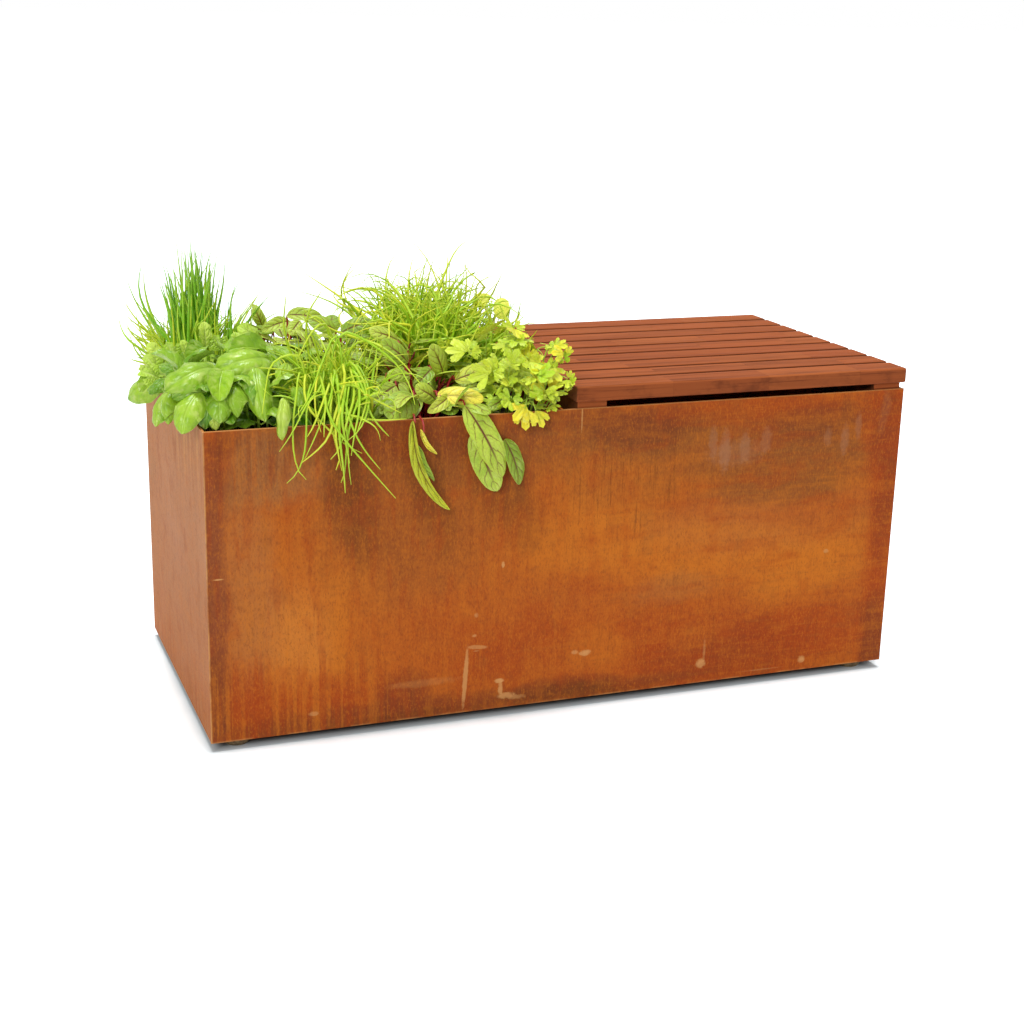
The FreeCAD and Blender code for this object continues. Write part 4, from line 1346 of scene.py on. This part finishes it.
def over_the_front(plant, places, thick, tint):
    """A long blade that rises from the tub and goes on through (x, z) places, past the front sheet."""
    reach = plant.chance.uniform(0.0, 0.009)
    root_x = places[0][0] * 0.5 - 0.155 + plant.chance.normal(0, 0.008)
    root_y = FRONT + plant.chance.uniform(0.035, 0.085)
    points = [(root_x, root_y, ROOT), (root_x * 0.7 + places[0][0] * 0.3, root_y, SOIL + 0.040)]
    if places[0][1] < 0.480:
        points.append((root_x * 0.4 + places[0][0] * 0.6, root_y * 0.6 + FRONT * 0.4, places[0][1] + 0.028))
    for x, z in places:
        height = min(max((z - RIM - 0.008) / 0.070, 0.0), 1.0)
        points.append((x, FRONT - 0.011 - reach + height * (0.028 + reach * 2), z))
    drape(plant, points, thick, tint)


def chives_front():
    plant = Plant(37)
    low, high = (-0.345, -0.185), (-0.272, -0.085)
    forward = (FRONTWARD - 0.95, FRONTWARD + 0.85)
    tuft(plant, 90, low, high, (0.9, 5.2), (0.0, 0.45), (0.1, 0.9), (0.09, 0.140),
         0.0018, (0.0, 0.8), 0.6, 0.40)
    tuft(plant, 120, low, high, (1.0, 5.0), (0.1, 0.60), (0.7, 2.2), (0.11, 0.165),
         0.0017, (0.2, 1.0), 0.8, 0.45)
    tuft(plant, 24, low, high, forward, (0.1, 0.45), (1.4, 2.6), (0.13, 0.170),
         0.0016, (0.4, 1.0), 0.5, 0.35)
    # Blades that hang over the front: the x and z of the places that each one passes, in millimetres
    hanging = [
        [(-368, 512), (-395, 510), (-411, 498), (-418, 478), (-428, 446)],
        [(-375, 498), (-381, 467), (-389, 443), (-392, 400), (-385, 370), (-375, 360)],
        [(-361, 484), (-371, 452), (-373, 420), (-376, 390), (-385, 368), (-399, 356)],
        [(-317, 477), (-334, 445), (-344, 413), (-360, 396), (-380, 382)],
        [(-329, 494), (-338, 460), (-350, 441), (-362, 414), (-376, 386)],
        [(-345, 474), (-370, 456), (-391, 423), (-409, 399)],
        [(-334, 482), (-352, 452), (-366, 428), (-374, 416)],
        [(-350, 497), (-345, 456), (-351, 441), (-353, 414)],
        [(-373, 466), (-368, 446), (-350, 427), (-328, 403), (-302, 388)],
        [(-306, 463), (-323, 430), (-332, 396), (-344, 384)],
        [(-327, 500), (-329, 455), (-334, 417), (-328, 371), (-326, 340)],
        [(-308, 488), (-323, 445), (-322, 400), (-321, 372), (-318, 350)],
        [(-299, 462), (-318, 430), (-323, 393), (-325, 361), (-330, 352)],
        [(-318, 463), (-337, 431), (-337, 404), (-331, 384), (-337, 370)],
        [(-350, 465), (-343, 431), (-318, 398), (-291, 365), (-260, 328)],
        [(-322, 454), (-316, 421), (-300, 392), (-280, 367)],
        [(-308, 499), (-294, 462), (-293, 442), (-281, 423), (-267, 408)],
        [(-332, 442), (-304, 434), (-281, 429), (-244, 429)],
        [(-308, 472), (-290, 458), (-276, 450), (-251, 437)],
        [(-326, 539), (-299, 533), (-271, 514), (-247, 494), (-234, 468), (-232, 446)],
        [(-310, 504), (-299, 490), (-290, 462), (-300, 440), (-311, 414)],
        [(-322, 545), (-336, 519), (-354, 483), (-371, 454), (-390, 438)],
        [(-317, 472), (-330, 440), (-325, 405), (-320, 378)],
        [(-336, 464), (-343, 441), (-339, 417), (-332, 387), (-328, 367)],
        [(-300, 478), (-304, 446), (-314, 416), (-318, 388)],
        [(-342, 508), (-356, 478), (-362, 446), (-356, 420)],
        [(-288, 470), (-292, 446), (-306, 420), (-322, 408)],
        [(-331, 470), (-313, 474), (-296, 466), (-288, 452)],
    ]
    for row in hanging:
        places = np.array(row) / MM
        over_the_front(plant, places, plant.chance.uniform(0.0013, 0.0021), plant.chance.uniform(0.1, 1.0))
    # Long blades inside the tub: the root's x and y, then the places that each one passes, in millimetres
    arcs = [
        [(-335, -130), (-360, -170, 478), (-395, -205, 494), (-428, -218, 500)],
        [(-300, -120), (-285, -140, 520), (-245, -180, 505), (-212, -205, 462)],
        [(-310, -120), (-320, -150, 540), (-345, -170, 540), (-372, -185, 500)],
        [(-340, -120), (-377, -130, 520), (-374, -140, 574)],
        [(-330, -110), (-350, -130, 540), (-328, -140, 578)],
        [(-320, -110), (-330, -130, 500), (-352, -140, 550)],
        [(-300, -100), (-300, -120, 500), (-330, -130, 552), (-360, -135, 530)],
        [(-290, -140), (-270, -160, 480), (-255, -175, 500), (-262, -185, 520)],
    ]
    for root, *rest in arcs:
        x, y = np.array(root) / MM
        drape(plant, [(x, y, ROOT), (x, y, SOIL + 0.05), *(np.array(rest) / MM)], 0.0017, 0.65)
    grow(plant, "plant_chives_front", "mint", "fresh_chive", 5, 20)


def chives_rear_centre():
    plant = Plant(41)
    low, high = (-0.166, -0.030), (-0.085, 0.150)
    tuft(plant, 130, low, high, AROUND, (0.0, 0.45), (0.0, 0.9), (0.12, 0.175),
         0.0022, (0.0, 0.7), 1.0, 0.45)
    tuft(plant, 250, low, high, AROUND, (0.0, 0.42), (0.9, 2.7), (0.175, 0.245),
         0.0022, (0.3, 1.0), 2.4, 0.60)
    tuft(plant, 60, low, high, AROUND, (0.0, 0.35), (0.4, 1.4), (0.175, 0.205),
         0.0017, (0.4, 1.0), 1.6, 0.50)
    tuft(plant, 50, (-0.170, -0.03), (-0.140, 0.12), (2.3, 4.1), (0.1, 0.40), (1.4, 2.8), (0.11, 0.150),
         0.0020, (0.4, 1.0), 1.2, 0.40)
    tuft(plant, 80, (-0.110, -0.06), (-0.050, 0.06), (-1.6, 0.6), (0.2, 0.60), (0.8, 2.0), (0.12, 0.180),
         0.0021, (0.3, 1.0), 0.8, 0.40)
    grow(plant, "plant_chives_rear_centre", "mint", "fresh_chive", 4, 14)


def rosette(plant, centre, count, reach, height, length, forms_used, tint):
    """Leaves on long stalks that rise from one crown and lean out all round."""
    chance = plant.chance
    for index in range(count):
        angle = index * 2.4 + chance.normal(0, 0.3)
        out = chance.uniform(0.35, 1.0)
        root = np.array([*centre, ROOT]) + heading(angle) * 0.012 * out
        top = root + heading(angle) * reach * out + UP * chance.uniform(*height) * (1.15 - 0.5 * out)
        path = over_rim(arc(root, root * 0.6 + top * 0.4 + UP * 0.02, top), 0.002)
        if zone_of(path[-1]) == "taken":
            continue
        rise = 0.9 - 1.5 * out + chance.normal(0, 0.2)
        direction = heading(angle + chance.normal(0, 0.3), rise)
        size = length * chance.uniform(0.75, 1.15)
        face = unit(UP + heading(angle) * 0.5 * (1 - out) + plant.near(0.2))
        form = int(chance.choice(forms_used))
        if try_leaf(plant, path[-1], direction, size, face, form, plant.tint_near(tint, 0.18)):
            plant.stem(path, 0.0016, 0.0011, float(chance.uniform(0.2, 0.9)))


def sorrel_front():
    plant = Plant(53)
    rosette(plant, (-0.190, -0.150), 22, 0.055, (0.030, 0.070), 0.056, (0, 1, 3, 3), 0.30)
    rosette(plant, (-0.185, -0.090), 24, 0.060, (0.040, 0.090), 0.058, (0, 1, 3), 0.35)
    rosette(plant, (-0.205, -0.050), 16, 0.050, (0.050, 0.100), 0.055, (0, 1, 3), 0.35)
    # Leaves that show singly: base, tip, way that the upper side looks, form, tint, width
    single = [
        ((-163, -229, 440), (-115, -245, 346), (30, -92, 15), 0, 50, 95),
        ((-233, -229, 424), (-186, -243, 306), (-45, -88, 10), 2, 74, 52),
        ((-223, -229, 412), (-203, -238, 380), (30, -90, 20), 2, 98, 90),
        ((-219, -190, 447), (-264, -218, 427), (-10, -82, 55), 3, 25, 115),
        ((-189, -185, 440), (-220, -196, 460), (5, -85, 50), 3, 50, 110),
        ((-190, -197, 447), (-132, -214, 443), (2, -84, 54), 3, 100, 78),
        ((-150, -150, 456), (-92, -168, 474), (0, -78, 60), 0, 72, 100),
        ((-158, -126, 458), (-180, -138, 503), (10, -95, 25), 3, 40, 85),
        ((-183, -150, 472), (-212, -168, 452), (-10, -85, 50), 1, 10, 120),
        ((-205, -118, 476), (-244, -122, 507), (10, -85, 50), 3, 20, 95),
        ((-204, -68, 496), (-248, -80, 513), (0, -75, 65), 3, 55, 90),
        ((-175, -200, 446), (-210, -219, 431), (20, -90, 35), 1, 70, 95),
        ((-186, -200, 446), (-180, -218, 431), (0, -90, 40), 3, 30, 100),
        ((-93, -200, 440), (-128, -217, 430), (-10, -85, 50), 0, 20, 110),
        ((-237, -168, 457), (-278, -198, 443), (0, -80, 60), 0, 35, 120),
        ((-242, -140, 462), (-220, -150, 476), (0, -85, 50), 0, 20, 100),
        ((-248, -190, 440), (-272, -212, 432), (-10, -85, 50), 0, 15, 110),
        ((-212, -150, 464), (-246, -160, 470), (0, -80, 60), 3, 30, 90),
    ]
    # Leaves that hang behind those, whose stalks don't show
    behind = [
        ((-150, -230, 404), (-119, -236, 324), (-30, -90, 10), 0, 35, 105),
        ((-108, -230, 392), (-88, -237, 331), (50, -85, 10), 0, 15, 120),
        ((-228, -231, 392), (-206, -236, 344), (60, -75, 10), 2, 20, 100),
    ]
    for row in by_hand(behind):
        plant.leaf(*row)
    for base, tip, face, form, tint, width in by_hand(single):
        plant.leaf(base, tip, face, form, tint, width)
        foot = np.array([(base[0] - 0.19) / 2, min(base[1] + 0.06, -0.14), ROOT])
        crown = np.array([base[0], base[1] + 0.012, max(base[2], RIM) + 0.022])
        plant.stem(over_rim(arc(foot, crown, base, 9), 0.0013), 0.0017, 0.0012, 0.3)
    grow(plant, "plant_sorrel_front", "sorrel", "red_stem", 6, 12)


def sorrel_rear():
    plant = Plant(59)
    crowns = [
        ((-0.320, 0.060), 22),
        ((-0.270, 0.040), 22),
        ((-0.300, 0.140), 20),
        ((-0.250, 0.150), 20),
        ((-0.330, 0.190), 14),
    ]
    for centre, count in crowns:
        rosette(plant, centre, count, 0.058, (0.030, 0.075), 0.052, (0, 1, 3), 0.40)
        rosette(plant, centre, 12, 0.045, (0.055, 0.080), 0.050, (0, 1, 3), 0.30)
    # Leaves that stand up behind the others: base, tip, way that the upper side looks, form, tint
    single = [
        ((-337, 170, 480), (-348, 175, 507), (5, -95, 30), 3, 30),
        ((-325, 150, 474), (-358, 150, 480), (0, -80, 60), 0, 15),
        ((-304, 140, 490), (-348, 122, 480), (0, -75, 65), 1, 35),
        ((-312, 120, 503), (-258, 110, 492), (0, -75, 65), 1, 30),
        ((-256, 60, 490), (-295, 68, 506), (0, -80, 60), 3, 20),
        ((-254, 40, 490), (-211, 34, 505), (0, -75, 65), 3, 10),
        ((-298, 100, 498), (-318, 80, 482), (0, -80, 60), 3, 40),
    ]
    for base, tip, face, form, tint in by_hand(single):
        plant.leaf(base, tip, face, form, tint)
        foot = np.array([base[0] * 0.8 - 0.055, base[1] * 0.8 + 0.015, ROOT])
        plant.stem(arc(foot, base * (1, 1, 0.97), base), 0.0017, 0.0012, 0.3)
    grow(plant, "plant_sorrel_rear", "sorrel", "red_stem", 6, 8)


FORK_AT = 0.66


def spray(plant, root, top, size, tint):
    """A parsley stalk that forks once, with three leaflets at the end of each fork."""
    chance = plant.chance
    path = over_rim(arc(root, np.asarray(root) * 0.5 + np.asarray(top) * 0.5 + UP * 0.02, top), 0.0012)
    if zone_of(path[-1]) == "taken":
        return
    plant.stem(path, 0.0013, 0.0008)
    out = unit((path[-1] - path[0]) * (1, 1, 0.4))
    turn = math.atan2(out[1], out[0])
    knee = path[0] + (path[-1] - path[0]) * FORK_AT + UP * 0.004 * (1 - FORK_AT)
    for start, veer in ((knee, -1.1), (path[-1], 0.0)):
        angle = turn + veer + chance.normal(0, 0.3)
        rise = chance.uniform(-0.25, 0.65)
        fork = start + heading(angle, rise) * size * 0.7
        if zone_of(fork) == "taken":
            continue
        plant.stem([start, (start + fork) / 2 + UP * 0.002, fork], 0.0008, 0.0006)
        face = unit(UP * 0.7 + np.array([-0.15, -0.60, 0.0]) + plant.near(0.50))
        for twist, part, gap in ((-1.30, 0.78, 0.08), (0.0, 1.10, 0.25), (1.30, 0.78, 0.08)):
            direction = heading(angle + twist, rise + chance.normal(0, 0.15))
            direction = unit(direction - face * float(direction @ face) * 0.8)
            form = int(chance.integers(0, 3))
            shade = plant.tint_near(tint, 0.18)
            lean = unit(face + plant.near(0.12))
            base = fork + direction * size * gap
            try_leaf(plant, base, direction, size * part * chance.uniform(0.85, 1.15), lean, form, shade)


def parsley():
    node = "plant_parsley_front_right"
    plant = Plant(61)
    chance = plant.chance
    low, high = box_of(node)
    low[0] = -0.098
    middle = (low + high) / 2
    for root in scattered(plant, low, high, 2, 6):
        lean = (root - middle) * (0.4, 0.35, 0)
        top = root + lean + UP * chance.uniform(0.045, 0.100) + plant.near(0.010) * (1, 1, 0)
        spray(plant, root, top, 0.024, 0.45)
    # Sprays that stand out in front and towards the seat: top and least size in millimetres, tint
    outer = [
        ((-95, -120, 518), 20, 0.50),
        ((-75, -150, 520), 20, 0.60),
        ((-60, -165, 508), 20, 0.45),
        ((-47, -185, 500), 21, 0.60),
        ((-40, -205, 508), 17, 0.70),
        ((-33, -218, 494), 17, 0.75),
        ((-36, -224, 470), 18, 0.70),
        ((-48, -225, 452), 18, 0.50),
        ((-62, -222, 460), 20, 0.45),
        ((-78, -215, 468), 18, 0.40),
        ((-92, -200, 478), 18, 0.50),
        ((-56, -205, 484), 20, 0.60),
        ((-72, -190, 492), 19, 0.50),
        ((-32, -224, 448), 16, 0.55),
        ((-96, -216, 444), 17, 0.30),
        ((-85, -165, 504), 19, 0.55),
        ((-138, -96, 496), 18, 0.45),
    ]
    for place, size, tint in outer:
        top = np.array(place) / MM
        root = np.array([top[0] * 0.6 - 0.030, max(top[1] + 0.030, -0.200), ROOT])
        spray(plant, root, top, size / MM * chance.uniform(1.0, 1.4), tint)
    # The yellow leaves over the rim
    yellow = [
        ((-80, -232, 436), (-101, -240, 418), (-10, -97, 20), 0, 100, 100),
        ((-82, -233, 432), (-83, -241, 404), (-10, -97, 20), 2, 95, 90),
        ((-66, -232, 428), (-58, -240, 406), (-10, -97, 20), 0, 90, 90),
    ]
    for base, tip, face, form, tint, width in by_hand(yellow):
        plant.leaf(base, tip, face, form, tint, width)
        foot = np.array([-0.070, -0.190, ROOT])
        plant.stem(over_rim(arc(foot, (-0.072, -0.222, 0.462), base, 9), 0.001), 0.0012, 0.0008)
    grow(plant, node, "parsley", "green_stem", 5, 7)


def rocket():
    node = "plant_rocket_left"
    plant = Plant(67)
    low, high = box_of(node)
    for root in scattered(plant, low, high, 4, 2):
        rosette(plant, root[:2], 9, 0.050, (0.040, 0.085), 0.046, (0, 1, 2), 0.38)
    # Leaves that show singly: base, tip, way that the upper side looks, form, tint
    single = [
        ((-453, -10, 487), (-454, -6, 520), (0, -90, 35), 0, 80),
        ((-375, 4, 486), (-404, 10, 510), (10, -90, 35), 1, 70),
        ((-431, -6, 482), (-440, 0, 502), (0, -85, 50), 2, 60),
        ((-516, 0, 457), (-532, 10, 478), (-20, -90, 35), 2, 70),
        ((-503, 20, 462), (-522, 30, 488), (-10, -90, 40), 0, 85),
        ((-496, -16, 474), (-505, -10, 498), (0, -90, 40), 2, 60),
        ((-479, -16, 476), (-484, -10, 498), (10, -90, 40), 0, 75),
        ((-519, -26, 452), (-540, -20, 462), (-20, -85, 50), 2, 60),
        ((-418, -16, 480), (-412, -12, 506), (0, -90, 40), 1, 65),
    ]
    for base, tip, face, form, tint in by_hand(single):
        plant.leaf(base, tip, face, form, tint)
        foot = np.array([base[0] * 0.9 - 0.045, max(base[1], 0.0) + 0.02, ROOT])
        plant.stem(over_rim(arc(foot, base + (0.004, 0.004, -0.01), base), 0.0013), 0.0016, 0.0011)
    grow(plant, node, "rocket", "green_stem", 6, 8)


def mint():
    node = "plant_mint_rear_right"
    plant = Plant(71)
    low, high = box_of(node)
    for root in scattered(plant, low, high, 2, 7):
        top = root + UP * plant.chance.uniform(0.045, 0.080) + plant.near(0.008) * (1, 1, 0)
        leafy_stem(plant, root, top, 4, 0.034, (0, 1), 0, 0.85, 0.0015)
    # Two leaves that stand out over the rest
    single = [
        ((-46, 60, 514), (-22, 78, 530), (-35, -60, 72), 0, 100, 130),
        ((-28, 0, 506), (-22, 24, 533), (-35, -60, 72), 0, 100, 130),
    ]
    for base, tip, face, form, tint, width in by_hand(single):
        plant.leaf(base, tip, face, form, tint, width)
        plant.stem(arc((base[0], base[1], SOIL), base * (1, 1, 0.95), base), 0.0014, 0.0010)
    grow(plant, node, "mint", "green_stem", 6, 7)


basil()
chives_rear_left()
chives_front()
chives_rear_centre()
sorrel_front()
sorrel_rear()
parsley()
rocket()
mint()


# Soil
SOIL_SEED = 5
BED_COLUMNS, BED_ROWS = 96, 90
LUMPS = 70
CRUMBS = {"Crumbs per Square Metre": 12000.0, "Smallest": 0.0012, "Largest": 0.0036, "Seed": 9}


def crumb_form(name, seed):
    """A rough lump of a few dozen faces, one unit across."""
    chance = np.random.default_rng(seed)
    work = bmesh.new()
    bmesh.ops.create_icosphere(work, subdivisions=1, radius=1.0)
    for vertex in work.verts:
        vertex.co *= chance.uniform(0.65, 1.15)
        vertex.co.z *= 0.75
    mesh = bpy.data.meshes.new(name)
    work.to_mesh(mesh)
    work.free()
    return bpy.data.objects.new(name, mesh)


def crumb_tree():
    """Scatters crumbs over the top of the soil and joins them to it."""
    inputs = {
        "Geometry": "Geometry",
        "Crumb Forms": "Collection",
        "Crumbs per Square Metre": "Float",
        "Smallest": "Float",
        "Largest": "Float",
        "Seed": "Int",
        "Finish": "Material",
    }
    tree, given = new_tree("scatter_crumbs", inputs)
    seed = given.beside("Seed")
    up = given.node("GeometryNodeInputNormal").split()[2]
    values = {
        "Mesh": given,
        "Selection": up > 0.6,
        "Density": given.beside("Crumbs per Square Metre"),
        "Seed": seed,
    }
    places = given.node("GeometryNodeDistributePointsOnFaces", values=values)
    values = {"Min": (0.0, 0.0, 0.0), "Max": (6.28, 6.28, 6.28), "Seed": seed}
    turn = given.node("FunctionNodeRandomValue", {"data_type": "FLOAT_VECTOR"}, values)
    turn = given.node("FunctionNodeEulerToRotation", values={"Euler": turn})
    values = {2: given.beside("Smallest"), 3: given.beside("Largest"), "Seed": seed}
    size = given.node("FunctionNodeRandomValue", {"data_type": "FLOAT"}, values, 1)
    crumbs = copies(given, "Crumb Forms", {"Points": places, "Rotation": turn, "Scale": size})
    done = painted(given, joined(crumbs, given), "Finish")
    given.node("NodeGroupOutput", values={0: done})
    return tree


def lumpy(x, y, low, high):
    """The height of the soil's top over its level: low mounds and grain, flat along the sheets."""
    chance = np.random.default_rng(SOIL_SEED)
    height = np.zeros_like(x)
    for _ in range(LUMPS):
        scale = chance.uniform(0.008, 0.05)
        centre = chance.uniform((low.x, low.y), (high.x, high.y))
        lump = np.exp(-((x - centre[0]) ** 2 + (y - centre[1]) ** 2) / scale ** 2)
        height += lump * chance.uniform(-0.5, 1.0) * scale * 0.12
    height += chance.normal(0, 0.0006, x.shape)
    edge = np.minimum.reduce([x - low.x, high.x - x, y - low.y, high.y - y])
    return height * np.clip(edge / 0.01, 0, 1) - 0.0015


def make_soil():
    """The compost: the node's own block with a lumpy top."""
    low, high = SOIL_LOW, SOIL_HIGH
    xs = np.linspace(low.x, high.x, BED_COLUMNS)
    ys = np.linspace(low.y, high.y, BED_ROWS)
    x, y = np.meshgrid(xs, ys, indexing="ij")
    z = SOIL + lumpy(x, y, low, high)
    work = bmesh.new()
    top = np.array([work.verts.new(place) for place in np.stack([x, y, z], -1).reshape(-1, 3)])
    top = top.reshape(BED_COLUMNS, BED_ROWS)
    for i in range(BED_COLUMNS - 1):
        for j in range(BED_ROWS - 1):
            work.faces.new((top[i, j], top[i + 1, j], top[i + 1, j + 1], top[i, j + 1]))
    rim_edges = [edge for edge in work.edges if edge.is_boundary]
    skirt = bmesh.ops.extrude_edge_only(work, edges=rim_edges)
    for item in skirt["geom"]:
        if isinstance(item, bmesh.types.BMVert):
            item.co.z = low.z
    bmesh.ops.contextual_create(work, geom=[edge for edge in work.edges if edge.is_boundary])
    bmesh.ops.recalc_face_normals(work, faces=work.faces)
    mesh = bpy.data.meshes.new("compost_bed")
    work.to_mesh(mesh)
    work.free()
    bed = new_piece("compost_bed", mesh)
    crumbs = bpy.data.collections.new("crumb_forms")
    for seed in range(4):
        crumbs.objects.link(crumb_form(f"crumb_{seed}", seed))
    made_by(crumb_tree(), bed, {**CRUMBS, "Crumb Forms": crumbs, "Finish": finishes["compost"]})
    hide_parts("soil")
    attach(bed, "tub")


make_soil()


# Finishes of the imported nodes, by the words in their names
NODE_FINISHES = {
    "panel": "weathering_steel",
    "seat_rail": "mild_steel",
    "floor_bearer": "mild_steel",
    "foot_bush": "mild_steel",
    "foot_stud": "zinc_steel",
    "foot_pad": "pad_plastic",
    "gravel": "expanded_clay",
    "fleece": "fleece",
    "slat_screws": "stainless_steel",
    "slat": "hardwood",
    "batten": "hardwood",
}
for node_name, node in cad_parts.items():
    for word, finish in NODE_FINISHES.items():
        if word in node_name:
            node.data.materials.clear()
            node.data.materials.append(finishes[finish])
            break

size_lists = [[list(corner) for corner in box] for box in (cad_box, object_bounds())]
